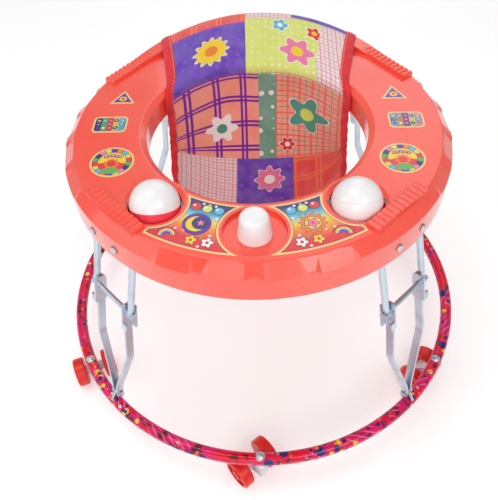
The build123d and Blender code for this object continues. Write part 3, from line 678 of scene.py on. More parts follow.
@dataclass
class FoldingLegs:
    """Plated legs with their hinges, and the other steel fittings."""

    legs: tuple[str, ...] = ("fl", "fr", "bl", "br")
    casters: int = 6

    def build(self) -> None:
        """Dress all the steel pieces."""
        # Bright zinc on drawn and pressed steel: a cool grey mirror, dulled in blotches.
        bright = PlatedSteel("bright_zinc_steel").build()
        kinds = ("lower_strut", "knee_rod", "upper_bow")
        dress([f"{kind}_{leg}" for kind in kinds for leg in self.legs], bright)
        # Zinc on turned and stamped fittings: a duller, more neutral grey.
        fittings = PlatedSteel("zinc_fittings", "#CED4DA", "#98A0A8", roughness=0.32).build()
        dress(["caster_stems", "ring_lugs", "pivot_pins", "hinge_brackets", "tray_screws", "seat_studs",
               *(f"caster_axle_{n}" for n in range(1, self.casters + 1))], fittings)
        # Bare drawn wire: dark and dull, seen only at its ends.
        dark = PlatedSteel("drawn_steel_wire", "#80868E", "#5A6068", roughness=0.45).build()
        dress(["ball_axles", "knob_spindle"], dark)


@dataclass
class PlayTray:
    """Moulded tray with its toys."""

    ball: tuple[float, float, float] = (0.1052, -0.1323, 0.3663)

    def build(self) -> None:
        """Dress the tray and its toys."""
        # Moulded polyethylene: waxy coral with a clear gloss on flats and edges.
        coral = MouldedPlastic("coral_polyethylene", "#FF5E4B", "#FF4F3D", roughness=0.22, edge_mm=0.7,
                               glow=0.1, coat=0.6)
        dress(["tray_shell"], coral.build())
        # Moulded polystyrene: hard, bright and glossy.
        white = MouldedPlastic("white_polystyrene", "#F8F5F6", "#F3EFF1", roughness=0.2, edge_mm=1.5,
                               coat=0.3)
        dress(["centre_knob"], white.build())
        x, y, z = self.ball
        # Two polystyrene cups: the same gloss, with a fine seam where they meet.
        left = ToyBall("white_and_coral_polystyrene", (-x, y, z), lower="#F8485C", line_mm=40.0)
        dress(["ball_left_upper", "ball_left_lower"], left.build())
        right = ToyBall("lined_white_polystyrene", (x, y, z))
        dress(["ball_right_upper", "ball_right_lower"], right.build())


Outline = list[tuple[float, float]]


class Shape:
    """Flat outlines for the labels' prints, in millimetres about their own middle."""

    @staticmethod
    def petals(radius: float, count: int = 1, depth: float = 0.0, turn: float = 0.0) -> Outline:
        """Disc, flower or sun: a circle whose edge swings in and out.

        Args:
            radius: Mean radius.
            count: Number of petals.
            depth: Swing as a share of the radius.
            turn: Angle of the first petal, in radians.
        Returns:
            The outline.
        """
        sides = max(24, 8 * count)
        found = []
        for i in range(sides):
            angle = 2 * math.pi * i / sides
            reach = radius * (1 + depth * math.cos(count * angle))
            found.append((reach * math.cos(angle + turn), reach * math.sin(angle + turn)))
        return found

    @staticmethod
    def star(radius: float, points: int = 5, inner: float = 0.45, turn: float = math.pi / 2) -> Outline:
        """Pointed star.

        Args:
            radius: Radius at the points.
            points: Number of points.
            inner: Radius between the points as a share of the radius.
            turn: Angle of the first point, in radians.
        Returns:
            The outline.
        """
        found = []
        for i in range(2 * points):
            reach = radius if i % 2 == 0 else radius * inner
            angle = turn + math.pi * i / points
            found.append((reach * math.cos(angle), reach * math.sin(angle)))
        return found

    @staticmethod
    def arch(outer: float, inner: float, start: float = 0.0, end: float = 180.0) -> Outline:
        """Band between two radii, as in a rainbow or the slice of a wheel.

        Args:
            outer: Outer radius.
            inner: Inner radius.
            start: First angle in degrees.
            end: Last angle in degrees.
        Returns:
            The outline.
        """
        steps = 16
        angles = [math.radians(start + (end - start) * i / steps) for i in range(steps + 1)]
        rim = [(outer * math.cos(a), outer * math.sin(a)) for a in angles]
        return rim + [(inner * math.cos(a), inner * math.sin(a)) for a in reversed(angles)]

    @staticmethod
    def block(width: float, height: float, corner: float) -> Outline:
        """Rectangle with round corners.

        Args:
            width: Size across.
            height: Size up.
            corner: Radius of the corners.
        Returns:
            The outline.
        """
        steps = 4
        found = []
        for quarter, (right, up) in enumerate(((1, 1), (-1, 1), (-1, -1), (1, -1))):
            for i in range(steps + 1):
                angle = math.radians(90 * (quarter + i / steps))
                found.append((right * (width / 2 - corner) + corner * math.cos(angle),
                              up * (height / 2 - corner) + corner * math.sin(angle)))
        return found

    @staticmethod
    def turns_left(outline: Outline) -> bool:
        """Whether an outline runs counter-clockwise."""
        ends = outline[1:] + outline[:1]
        return sum(a[0] * b[1] - b[0] * a[1] for a, b in zip(outline, ends)) > 0

    @staticmethod
    def kite(width: float, height: float) -> Outline:
        """Diamond, or a leaf when narrow."""
        return [(0, height / 2), (-width / 2, height * 0.1), (0, -height / 2), (width / 2, height * 0.1)]


@dataclass(frozen=True)
class Mark:
    """One printed shape: its place on the tray in millimetres, outline, ink and layer.

    A shape with no ink shows the spectrum of the big labels.
    """

    x: float
    y: float
    outline: Outline
    ink: Ink | None
    layer: int = 3


@dataclass
class TrayLabels:
    """Printed film labels on the tray: cream borders, dark lines, grounds and generic prints.

    Lengths are millimetres, as in the model's own labels. A side label's last value is its azimuth, and
    a print on a big label stands at a distance from the tray's middle and an azimuth from its front.
    """

    inner: float = 141.0
    outer: float = 208.0
    span: tuple[float, float] = (3.0, 32.5)
    ball_at: tuple[float, float] = (169.0, 38.5)
    knob_at: float = 175.0
    rim: float = 36.0
    border: float = 2.3
    line: float = 0.6
    round_label: tuple[float, float] = (50.0, 67.0)
    square_label: tuple[float, float, float] = (41.0, 30.0, 90.0)
    corner_label: tuple[float, float] = (18.0, 107.0)
    edge: float = 0.8
    layer_step: float = 0.05
    bead_at: tuple[float, float] = (152.2, 13.9)
    bead_step: float = 4.75
    bead_radius: float = 5.0
    middle_at: tuple[float, float] = (175.0, 19.4)
    rainbow_at: tuple[float, float] = (199.6, 26.0)
    rainbow_radii: tuple[float, float] = (10.2, 2.6)
    rainbow_step: float = 1.9
    star_radius: float = 2.2
    leaf: tuple[float, float] = (3.0, 6.0)
    blooms: tuple[tuple[float, float, float, Ink, Ink], ...] = (
        (196.2, 13.6, 5.2, Ink.WHITE, Ink.RED), (196.8, 18.6, 5.0, Ink.YELLOW, Ink.RED),
        (201.4, 9.4, 2.4, Ink.PINK, Ink.YELLOW), (147.6, 10.2, 2.4, Ink.PINK, Ink.YELLOW),
        (147.6, 26.6, 2.4, Ink.ORANGE, Ink.YELLOW))
    stars: tuple[tuple[float, float], ...] = (
        (162, 24.6), (163, 13.6), (187, 13.6), (188, 25.0), (146.5, 15.8), (146.5, 21), (203, 15.8),
        (203.4, 22.2), (203, 30.0), (187, 22.2), (146.5, 18.4))
    leaves: tuple[tuple[float, float], ...] = (
        (191, 16.0), (203, 10.6), (160, 16.6), (159, 22.0), (203, 17.4))
    spectrum: tuple[Ink, ...] = (Ink.NAVY, Ink.NAVY, Ink.SKY, Ink.YELLOW, Ink.ORANGE, Ink.RED, Ink.RED)
    wheel: tuple[Ink, ...] = (Ink.RED, Ink.YELLOW, Ink.SKY, Ink.ORANGE, Ink.VIOLET, Ink.LIME, Ink.PINK,
                              Ink.NAVY, Ink.GREEN)

    def build(self) -> None:
        """Make the labels and lay the prints on them."""
        film = self.film()
        art = self.art()
        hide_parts("tray_stickers")
        for piece in (film, art):
            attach(piece, "tray")

    def film(self) -> bpy.types.Object:
        """Make the plain labels, cut as in the model.

        Returns:
            The labels as one piece.
        """
        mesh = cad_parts["tray_stickers"].data.copy()
        mesh.materials.clear()
        # Printed film: bright inks under a clear glossy face.
        mesh.materials.append(LabelInk(Ink.CREAM).build())
        made = bpy.data.objects.new("label_films", mesh)
        bpy.context.scene.collection.objects.link(made)
        LOG.info("%s: %d faces", made.name, len(mesh.polygons))
        return made

    def art(self) -> bpy.types.Object:
        """Make all the prints, with a material for each ink.

        Returns:
            The prints as one piece of flat faces.
        """
        inks: list[Ink | None] = [None, *Ink]
        points, faces, chosen = [], [], []
        for mark in self.marks():
            height = Dim.TRAY_TOP + Dim.LABEL_THICK + mark.layer * self.layer_step * MM
            start = len(points)
            points += [((mark.x + a) * MM, (mark.y + b) * MM, height) for a, b in mark.outline]
            face = tuple(range(start, len(points)))
            faces.append(face if Shape.turns_left(mark.outline) else face[::-1])
            chosen.append(inks.index(mark.ink))
        made = mesh_object("label_prints", points, faces, smooth=False)
        made.data.materials.append(LabelSky("label_film_spectrum", self.spectrum).build())
        for ink in Ink:
            made.data.materials.append(LabelInk(ink).build())
        made.data.polygons.foreach_set("material_index", chosen)
        return made

    def marks(self) -> list[Mark]:
        """Gather all the printed shapes.

        Returns:
            The shapes of both sides.
        """
        found = []
        for side in (-1, 1):
            found += self.front_marks(side) + self.round_marks(side)
            found += self.square_marks(side) + self.corner_marks(side)
        return found

    @staticmethod
    def at(side: int, reach: float, azimuth: float) -> tuple[float, float]:
        """Place on the tray at a distance from its middle and an azimuth from its front."""
        angle = math.radians(side * azimuth)
        return reach * math.sin(angle), -reach * math.cos(angle)

    @staticmethod
    def shut(reach: float, distance: float, rim: float) -> float:
        """Half the angle that a round dish takes up at a distance from the tray's middle."""
        share = (reach ** 2 + distance ** 2 - rim ** 2) / (2 * reach * distance)
        return math.degrees(math.acos(share)) if share < 1 else -90.0

    def front_outline(self, side: int, margin: float) -> Outline:
        """Outline of a big front label, drawn in from its edge by a margin.

        Args:
            side: Minus one for the left label, one for the right.
            margin: Distance from the label's edge.
        Returns:
            The outline about the tray's middle.
        """
        steps = 40
        low, high = self.inner + margin, self.outer - margin
        rows = []
        for i in range(steps + 1):
            reach = low + (high - low) * i / steps
            inset = math.degrees(margin / reach)
            start = max(self.span[0] + inset, self.shut(reach, self.knob_at, self.rim + margin))
            end = min(self.span[1] - inset,
                      self.ball_at[1] - self.shut(reach, self.ball_at[0], self.rim + margin))
            rows.append((reach, start, end))
        near = [self.at(side, reach, start) for reach, start, _ in rows]
        far = [self.at(side, reach, end) for reach, _, end in rows]
        return near + self.arc(side, *rows[-1]) + far[::-1] + self.arc(side, *rows[0])[::-1]

    def arc(self, side: int, reach: float, start: float, end: float) -> Outline:
        """Points between the ends of an arc round the tray's middle."""
        steps = 16
        return [self.at(side, reach, start + (end - start) * i / steps) for i in range(1, steps)]

    def fits(self, mark: Mark) -> bool:
        """Whether a shape lies inside the dark line of a big front label.

        Args:
            mark: Shape to try.
        Returns:
            True where all of it does.
        """
        margin = self.border + self.line
        ball = self.at(1, *self.ball_at)
        for a, b in mark.outline:
            x, y = abs(mark.x + a), mark.y + b
            if not self.inner + margin < math.hypot(x, y) < self.outer - margin:
                return False
            if min(math.dist((x, y), ball), math.hypot(x, y + self.knob_at)) < self.rim + margin:
                return False
        return True

    def edged(self, place: tuple[float, float], make: Callable[[float], Outline], radius: float, ink: Ink,
              layer: int = 3) -> list[Mark]:
        """Shape with a thin dark edge."""
        return [Mark(*place, make(radius + self.edge), Ink.NAVY, layer),
                Mark(*place, make(radius), ink, layer + 1)]

    def bloom(self, place: tuple[float, float], radius: float, petal: Ink, eye: Ink,
              layer: int = 3) -> list[Mark]:
        """Five-petalled flower with a dark edge."""
        found = self.edged(place, lambda size: Shape.petals(size, 5, 0.24), radius, petal, layer)
        return found + [Mark(*place, Shape.petals(radius * 0.36), eye, layer + 2)]

    def front_marks(self, side: int) -> list[Mark]:
        """Big label: balls at the hole's side, sun or moon, rainbow, flowers and stars.

        Args:
            side: Minus one for the left label, one for the right.
        Returns:
            The label's shapes.
        """
        groups = []
        for i, ink in enumerate((Ink.SKY, Ink.LIME, Ink.RED)):
            place = self.at(side, self.bead_at[0], self.bead_at[1] + self.bead_step * i)
            glint = Mark(place[0] - 1.6, place[1] + 1.7, Shape.petals(1.4), Ink.WHITE, 5)
            groups.append(self.edged(place, Shape.petals, self.bead_radius, ink) + [glint])
        middle = self.at(side, *self.middle_at)
        if side > 0:
            groups.append(self.edged(middle, lambda size: Shape.star(size, 12, 0.74), 14.6, Ink.ORANGE)
                          + self.edged(middle, Shape.petals, 8.4, Ink.YELLOW, 5)
                          + self.bloom(middle, 5.0, Ink.PINK, Ink.RED, 7))
        else:
            groups.append(self.edged(middle, Shape.petals, 14.2, Ink.VIOLET)
                          + self.edged((middle[0] - 1, middle[1]), Shape.petals, 10.4, Ink.YELLOW, 5)
                          + [Mark(middle[0] + 3.6, middle[1] + 1, Shape.petals(8.8), Ink.NAVY, 7),
                             Mark(middle[0] + 4, middle[1] + 1, Shape.star(4.6), Ink.PINK, 8)])
        bow = self.at(side, *self.rainbow_at)
        outer, inner = self.rainbow_radii
        arcs = [Mark(*bow, Shape.arch(outer + self.edge, inner), Ink.NAVY)]
        for i, ink in enumerate((Ink.RED, Ink.YELLOW, Ink.SKY, Ink.VIOLET)):
            arcs.append(Mark(*bow, Shape.arch(outer - self.rainbow_step * i, inner), ink, 4 + i))
        groups.append(arcs)
        for reach, azimuth, radius, petal, eye in self.blooms:
            groups.append(self.bloom(self.at(side, reach, azimuth), radius, petal, eye))
        for reach, azimuth in self.stars:
            groups.append([Mark(*self.at(side, reach, azimuth), Shape.star(self.star_radius), Ink.WHITE)])
        for reach, azimuth in self.leaves:
            groups.append([Mark(*self.at(side, reach, azimuth), Shape.kite(*self.leaf), Ink.GREEN)])
        found = [Mark(0, 0, self.front_outline(side, self.border), Ink.NAVY, 1),
                 Mark(0, 0, self.front_outline(side, self.border + self.line), None, 2)]
        for group in groups:
            if all(self.fits(mark) for mark in group):
                found += group
        return found

    def spot(self, side: int, azimuth: float) -> tuple[float, float]:
        """Middle of a side label."""
        return self.at(side, (self.inner + self.outer) / 2, azimuth)

    def round_marks(self, side: int) -> list[Mark]:
        """Round label: a wheel of colours round a sunrise.

        Args:
            side: Minus one for the left label, one for the right.
        Returns:
            The label's shapes.
        """
        across, azimuth = self.round_label
        x, y = self.spot(side, azimuth)
        found = [Mark(x, y, Shape.petals(across / 2 - self.border), Ink.NAVY, 1)]
        slices = 2 * len(self.wheel)
        turn = 360 / slices
        for i in range(slices):
            piece = Shape.arch(22.1, 16.5, turn * i + 1, turn * (i + 1) - 1)
            found.append(Mark(x, y, piece, self.wheel[i % len(self.wheel)], 2))
        found += [Mark(x, y, Shape.petals(15.9), Ink.YELLOW, 2),
                  Mark(x, y, Shape.arch(15.9, 0.4, 190, 350), Ink.RED),
                  Mark(x, y - 3, Shape.star(9.5, 10, 0.72), Ink.ORANGE, 4),
                  Mark(x, y - 3, Shape.petals(5.2), Ink.RED, 5),
                  Mark(x, y - 9, Shape.arch(11.5, 0.4, 200, 340), Ink.GREEN, 6)]
        for i in range(5):
            found += self.bloom((x - 8 + 4 * i, y + 10.5 - abs(i - 2)), 1.6, Ink.PINK, Ink.WHITE, 6)
        return found

    def square_marks(self, side: int) -> list[Mark]:
        """Square label: coloured bars with a flower or a star on each.

        Args:
            side: Minus one for the left label, one for the right.
        Returns:
            The label's shapes.
        """
        width, height, azimuth = self.square_label
        x, y = self.spot(side, azimuth)
        ground = Shape.block(width - 2 * self.border, height - 2 * self.border, 4.0)
        found = [Mark(x, y, ground, Ink.NAVY, 1)]
        bars, inks = 5, len(self.wheel)
        for i in range(bars):
            place = (x + 7.0 * (i - (bars - 1) / 2), y)
            found.append(Mark(*place, Shape.block(6.8, 24.0, 1.0), self.wheel[(i + 2 * side) % inks], 2))
            for k, drop in enumerate((-7, 0, 7)):
                here = (place[0], y + drop)
                ink = self.wheel[(i + 3 * k + 4) % inks]
                if (i + k) % 2:
                    found += self.bloom(here, 2.4, ink, Ink.WHITE)
                else:
                    found += self.edged(here, Shape.star, 2.8, ink)
        return found

    def corner_marks(self, side: int) -> list[Mark]:
        """Corner label: a star on a sun in a dark triangle.

        Args:
            side: Minus one for the left label, one for the right.
        Returns:
            The label's shapes.
        """
        across, azimuth = self.corner_label
        x, y = self.spot(side, azimuth)
        ground = across - 2 * self.border
        return [Mark(x, y, Shape.star(ground, 3, 0.5), Ink.NAVY, 1),
                Mark(x, y, Shape.star(ground - 2 * self.line, 3, 0.5), Ink.VIOLET, 2),
                Mark(x, y, Shape.petals(4.8), Ink.YELLOW), Mark(x, y, Shape.star(3.8), Ink.RED, 4)]


@dataclass(frozen=True)
class Patch:
    """Printed field of the seat: its share of the width, its span along the cut, its finish."""

    left: float
    right: float
    start_mm: float
    end_mm: float
    cloth: PatchCloth


def flower(across: float, along: float, radius: float, petals: int, outer: Ink, inner: Ink,
           depth: float = 0.22) -> tuple[Motif, ...]:
    """Motif with a white outline, a body and a round middle.

    Args:
        across: Place across the flat cloth.
        along: Place along the flat cloth.
        radius: Mean radius of the body.
        petals: Number of petals.
        outer: Colour of the body.
        inner: Colour of the middle.
        depth: Swing of the petals as a share of the radius.
    Returns:
        The three motifs, from the bottom up.
    """
    return (Motif(across, along, radius + 1.2, petals, depth, Ink.WHITE),
            Motif(across, along, radius, petals, depth, outer),
            Motif(across, along, radius * 0.42, 1, 0.0, inner))


class Quilt:
    """Layout of the printed fields on the seat's cloth, in an order of its own."""

    # Printed cotton: matt, soft colours that the yarn breaks up, with painted shade in the weave.
    PINK = PatchCloth("cotton_pink_check", "#FBE3DC", "#F2A6A8", Print.CHECK, 11.0, "#B9A6D8")
    LIME = PatchCloth("cotton_lime", "#DDE468", "#EFF0A8", Print.DOTS, 9.0)
    RED = PatchCloth("cotton_red_plaid", "#F32A26", "#FF7A4E", Print.PLAID, 34.0)
    VIOLET = PatchCloth("cotton_violet", "#5A16B4", "#8A4AD8", Print.DOTS, 14.0)
    SALMON = PatchCloth("cotton_salmon_plaid", "#FF9A80", "#7A14A8", Print.PLAID, 36.0)
    PEACH = PatchCloth("cotton_peach_check", "#FF9C86", "#F07860", Print.CHECK, 16.0, "#8FA07C")
    TEAL = PatchCloth("cotton_teal", "#5F9C80", "#F4F2EA", Print.DOTS, 17.0)

    @staticmethod
    def printed(cloth: PatchCloth, name: str, *motifs: tuple[Motif, ...]) -> PatchCloth:
        """A field's cloth with large motifs on it."""
        return replace(cloth, name=name, motifs=tuple(part for group in motifs for part in group))

    @classmethod
    def patches(cls) -> list[Patch]:
        """Lay out the fields.

        Returns:
            The fields from the back's flap to the front of the well.
        """
        sun = cls.printed(cls.VIOLET, "cotton_violet_sun",
                          flower(-62, 112, 20, 12, Ink.YELLOW, Ink.ORANGE, 0.14))
        daisy = cls.printed(cls.LIME, "cotton_lime_daisy",
                            flower(52, 118, 19, 6, Ink.PINK, Ink.YELLOW),
                            flower(30, 76, 9, 5, Ink.SKY, Ink.WHITE),
                            flower(76, 80, 9, 5, Ink.RED, Ink.YELLOW))
        star = cls.printed(cls.PEACH, "cotton_peach_star",
                           flower(66, 214, 21, 5, Ink.TEAL, Ink.LIME, 0.3),
                           flower(40, 262, 9, 6, Ink.RED, Ink.WHITE))
        bloom = cls.printed(cls.SALMON, "cotton_salmon_bloom",
                            flower(-52, 236, 17, 6, Ink.WHITE, Ink.TEAL))
        moon = cls.printed(cls.VIOLET, "cotton_violet_bloom",
                           flower(14, 316, 18, 8, Ink.PINK, Ink.WHITE, 0.16))
        return [
            Patch(-1.0, -0.14, 0, 72, cls.RED), Patch(-0.14, 0.36, 0, 66, cls.PINK),
            Patch(0.36, 1.0, 0, 58, cls.VIOLET),
            Patch(-1.0, -0.14, 72, 156, sun), Patch(-0.14, 0.68, 66, 156, daisy),
            Patch(0.36, 0.68, 58, 66, cls.LIME), Patch(0.68, 1.0, 58, 156, cls.PINK),
            Patch(-1.0, 0.0, 156, 286, bloom), Patch(0.0, 0.22, 156, 286, cls.TEAL),
            Patch(0.22, 1.0, 156, 286, star),
            Patch(-1.0, -0.3, 286, 390, cls.PINK), Patch(-0.3, 0.42, 286, 390, moon),
            Patch(0.42, 1.0, 286, 390, cls.RED),
            Patch(-1.0, 0.1, 390, 900, cls.PEACH), Patch(0.1, 1.0, 390, 900, cls.LIME)]


def ramp(low: float, high: float, value: float) -> float:
    """Smooth step from zero at low to one at high."""
    share = min(1.0, max(0.0, (value - low) / (high - low)))
    return share * share * (3 - 2 * share)


@dataclass(frozen=True)
class Folds:
    """Soft forms of the hanging cloth, in metres: two lobes, a middle ridge, waves and puckers.

    Rates are turns of a noise or radians of a wave for each metre; a pair of lengths is where a form
    sets in and where it is full.
    """

    hang: tuple[float, float] = (0.004, 0.030)
    lobe_depth: float = 0.008
    lobe_spread: float = 0.030
    ridge_height: float = 0.0042
    ridge_width: float = 0.013
    ridge_sway: float = 0.004
    ridge_sway_rate: float = 30.0
    ridge_start: tuple[float, float] = (0.045, 0.12)
    ridge_end: tuple[float, float] = (0.24, 0.30)
    wave: float = 0.0022
    wave_rate: float = 16.0
    ripple: float = 0.0009
    ripple_rate: float = 42.0
    taut_share: float = 0.25
    gather: tuple[float, float] = (0.062, 0.105)
    pucker: float = 0.0009
    pucker_rates: tuple[float, float] = (300.0, 160.0)
    crease: float = 0.0005
    crease_rates: tuple[float, float] = (60.0, 110.0)
    smooth_share: float = 0.3

    def height(self, at: Vector, along: float) -> float:
        """Height of the folds towards the printed side.

        Args:
            at: Place on the smooth cloth, in the part's frame.
            along: Distance from the flap's hem.
        Returns:
            Distance to move along the normal.
        """
        x, z = at.x, at.z - Dim.TRAY_TOP
        hung = ramp(*self.hang, -z)
        side, back, down = Dim.LOBE
        height = 0.0
        for lobe in (-side, side):
            gap = (Vector((x, at.y, z)) - Vector((lobe, back, down))).length
            height -= self.lobe_depth * math.exp(-(gap / self.lobe_spread) ** 2) * hung
        sway = self.ridge_sway * math.sin(along * self.ridge_sway_rate)
        ridge = self.ridge_height * math.exp(-abs(x - sway) / self.ridge_width)
        height += ridge * ramp(*self.ridge_start, along) * (1 - ramp(*self.ridge_end, along))
        soft = noise.noise(at * self.wave_rate) * self.wave + noise.noise(at * self.ripple_rate) * self.ripple
        height += soft * (self.taut_share + (1 - self.taut_share) * hung)
        near = ramp(*self.gather, abs(x))
        turn = along * self.pucker_rates[0] + abs(x) * self.pucker_rates[1]
        height += self.pucker * near * hung * math.sin(turn)
        grain = Vector((x * self.crease_rates[0], along * self.crease_rates[1], 3.0))
        fine = noise.noise(grain) * self.crease
        return height + fine * (self.smooth_share + (1 - self.smooth_share) * near)


Row = list[Vector]


@dataclass
class SlingSeat:
    """Patchwork sling that hangs in the tray's hole, and its folded binding tape.

    The cover's path has a distance from the tray's axis, a height over the tray's top, and the share of
    the raised rim's height that the cloth follows there. The tape's profile is in millimetres.
    """

    columns: int = 56
    step: float = 0.0065
    thick: float = 0.0012
    tape_lap: float = 0.005
    folded_share: float = 0.28
    across_power: float = 3.55
    down_power: float = 2.6
    deepest: float = 0.12
    halvings: int = 40
    folds: Folds = Folds()
    wall_gap: float = 0.0022
    flap_bend: float = 0.017
    over_rim: tuple[tuple[float, float, float], ...] = (
        (0.2262, -0.0058, 0.15), (0.2245, -0.003, 0.6), (0.2236, -0.0008, 1.0), (0.2222, 0.0011, 1.0),
        (0.2180, 0.0017, 1.0), (0.2110, 0.0018, 1.0), (0.2045, 0.0017, 1.0), (0.1988, 0.0010, 1.0))
    taut_rows: int = 10
    over_lip: tuple[tuple[float, float, float], ...] = (
        (0.1360, 0.0016, 0.0), (0.1330, 0.0008, 0.0), (0.1300, -0.0010, 0.0), (0.1275, -0.0035, 0.0))
    lip_drop: float = 0.006
    tape_columns: int = 4
    tape_puff: float = 0.12
    profile: tuple[tuple[float, float], ...] = (
        (16.0, 0.4), (15.4, 1.5), (9.0, 2.1), (3.0, 1.9), (0.4, 1.0), (0.0, 0.0), (0.4, -1.0),
        (3.0, -1.9), (9.0, -2.1), (15.4, -1.5), (16.0, -0.4))

    def build(self) -> None:
        """Sew the seat, give it its folds and hang it in the tray, in two stretches that part at the first
        row below its front hem.
        """
        rows = self.cover_rows() + self.hung_rows()
        lengths = self.lengths(rows)
        normals = self.normals(rows)
        rows = [[point + normal * self.folds.height(point, along)
                 for point, normal in zip(row, row_normals)]
                for row, row_normals, along in zip(rows, normals, lengths)]
        normals = self.normals(rows)
        middle = self.columns // 2
        hem = Dim.TRAY_TOP - Dim.CLOTH_FRONT_BELOW
        seam = next(i for i, row in enumerate(rows)
                    if row[middle].y < Dim.HOLE_RADIUS and row[middle].z < hem)
        self.sew("cover", rows[:seam + 1], normals[:seam + 1], lengths[:seam + 1])
        hung = self.sew("cloth", rows[seam:], normals[seam:], lengths[seam:])
        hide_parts("seat_sling")
        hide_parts("seat_binding")
        for piece in hung:
            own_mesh(piece)

    def sew(self, name: str, rows: list[Row], normals: list[Row],
            lengths: list[float]) -> list[bpy.types.Object]:
        """Make one stretch of the sling with its tapes.

        Args:
            name: Last word of the cloth's name.
            rows: Finished rows of the cloth.
            normals: Their normals on the printed side.
            lengths: Distance of each row from the flap's hem.
        Returns:
            The cloth, its left tape and its right tape.
        """
        cloth = self.cloth(f"sling_{name}", rows, lengths)
        tapes = [self.tape(f"binding_{name}", rows, normals, lengths, side) for side in (-1, 1)]
        for piece in (cloth, *tapes):
            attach(piece, "tray")
        return [cloth, *tapes]

    def shares(self) -> list[float]:
        """Places across the cloth, from minus one to one."""
        return [2 * j / self.columns - 1 for j in range(self.columns + 1)]

    @staticmethod
    def crest(x: float) -> float:
        """Height of the tray's raised back rim at a distance from the middle."""
        sag = Dim.CREST_ARCH - math.sqrt(Dim.CREST_ARCH ** 2 - x * x)
        return max(0.0, Dim.CREST_RISE - sag)

    def cover_rows(self) -> list[Row]:
        """Lay the cloth on the tray's back.

        Returns:
            Rows of the flap, over the raised rim, then taut to the hole's lip.
        """
        wall = Dim.TRAY_RADIUS + self.wall_gap
        drops = (Dim.CLOTH_FLAP, self.flap_bend, Dim.EDGE_DROP)
        path = [(wall, -drop, 0.0) for drop in drops] + list(self.over_rim)
        start, end = Vector(self.over_rim[-1]), Vector(self.over_lip[0])
        path += [tuple(start.lerp(end, i / self.taut_rows)) for i in range(1, self.taut_rows)]
        path += self.over_lip
        rows = []
        for reach, lift, hug in path:
            wider = max(0.0, reach - Dim.CLOTH_BEND) / (wall - Dim.CLOTH_BEND)
            half = Dim.CLOTH_HALF_WELL + wider * (Dim.CLOTH_HALF_BACK - Dim.CLOTH_HALF_WELL)
            row = []
            for share in self.shares():
                x = share * (half - self.tape_lap)
                y = math.sqrt(reach * reach - x * x)
                row.append(Vector((x, y, Dim.TRAY_TOP + lift + hug * self.crest(x))))
            rows.append(row)
        return rows

    def bowl(self, x: float, y: float, z: float) -> float:
        """One on the hanging bowl, less inside it; z is measured from the tray's top."""
        across = math.hypot(x, y) / Dim.CLOTH_RIM
        return across ** self.across_power + (abs(z) / Dim.CLOTH_DROP) ** self.down_power

    def hung_rows(self) -> list[Row]:
        """Hang the cloth in the hole.

        Returns:
            Rows from the hole's back lip to the front.
        """
        fine = 1600
        line = []
        for i in range(fine + 1):
            angle = math.pi * i / fine
            level = math.cos(angle)
            y = math.copysign(Dim.CLOTH_RIM * abs(level) ** (2 / self.across_power), level)
            line.append((y, -Dim.CLOTH_DROP * math.sin(angle) ** (2 / self.down_power)))
        line = [p for p in line if p[1] < -(self.lip_drop if p[0] > 0 else Dim.CLOTH_FRONT_BELOW)]
        rows = []
        walked = self.step
        for before, here in zip(line, line[1:]):
            walked += math.dist(before, here)
            if walked >= self.step or here == line[-1]:
                walked = 0.0
                rows.append(self.hung_row(before, here))
        return rows

    def hung_row(self, before: tuple[float, float], here: tuple[float, float]) -> Row:
        """One row across the hanging part: the bowl cut along X and the inward normal.

        Args:
            before: Place before this one on the middle line, as Y and the height over the tray's top.
            here: This place.
        Returns:
            The row, from the left to the right.
        """
        step = math.dist(before, here)
        inward = ((here[1] - before[1]) / step, (before[0] - here[0]) / step)
        narrow = 1 - ramp(Dim.CLOTH_TAPER[0], Dim.CLOTH_TAPER[1], here[0])
        half = Dim.CLOTH_HALF_WELL + narrow * (Dim.CLOTH_HALF_FRONT - Dim.CLOTH_HALF_WELL)
        row = []
        for share in self.shares():
            x = share * (half - self.tape_lap)
            low, high = 0.0, self.deepest
            for _ in range(self.halvings):
                middle = (low + high) / 2
                if self.bowl(x, here[0] + middle * inward[0], here[1] + middle * inward[1]) > 1:
                    low = middle
                else:
                    high = middle
            row.append(Vector((x, here[0] + low * inward[0], Dim.TRAY_TOP + here[1] + low * inward[1])))
        return row

    @staticmethod
    def lengths(rows: list[Row]) -> list[float]:
        """Measure along the middle of the cloth.

        Args:
            rows: Rows of the cloth.
        Returns:
            Distance of each row from the flap's hem.
        """
        middle = len(rows[0]) // 2
        found = [0.0]
        for before, here in zip(rows, rows[1:]):
            found.append(found[-1] + (here[middle] - before[middle]).length)
        return found

    @staticmethod
    def girth(row: Row) -> float:
        """Length of one row across the cloth."""
        return sum((b - a).length for a, b in zip(row, row[1:]))

    @staticmethod
    def normals(rows: list[Row]) -> list[Row]:
        """Work out the normals on the cloth's printed side.

        Args:
            rows: Rows of the cloth.
        Returns:
            A normal for each point of each row.
        """
        last_row, last = len(rows) - 1, len(rows[0]) - 1
        found = []
        for i, row in enumerate(rows):
            line = []
            for j in range(len(row)):
                along = rows[min(i + 1, last_row)][j] - rows[max(i - 1, 0)][j]
                across = row[min(j + 1, last)] - row[max(j - 1, 0)]
                line.append(along.cross(across).normalized())
            found.append(line)
        return found

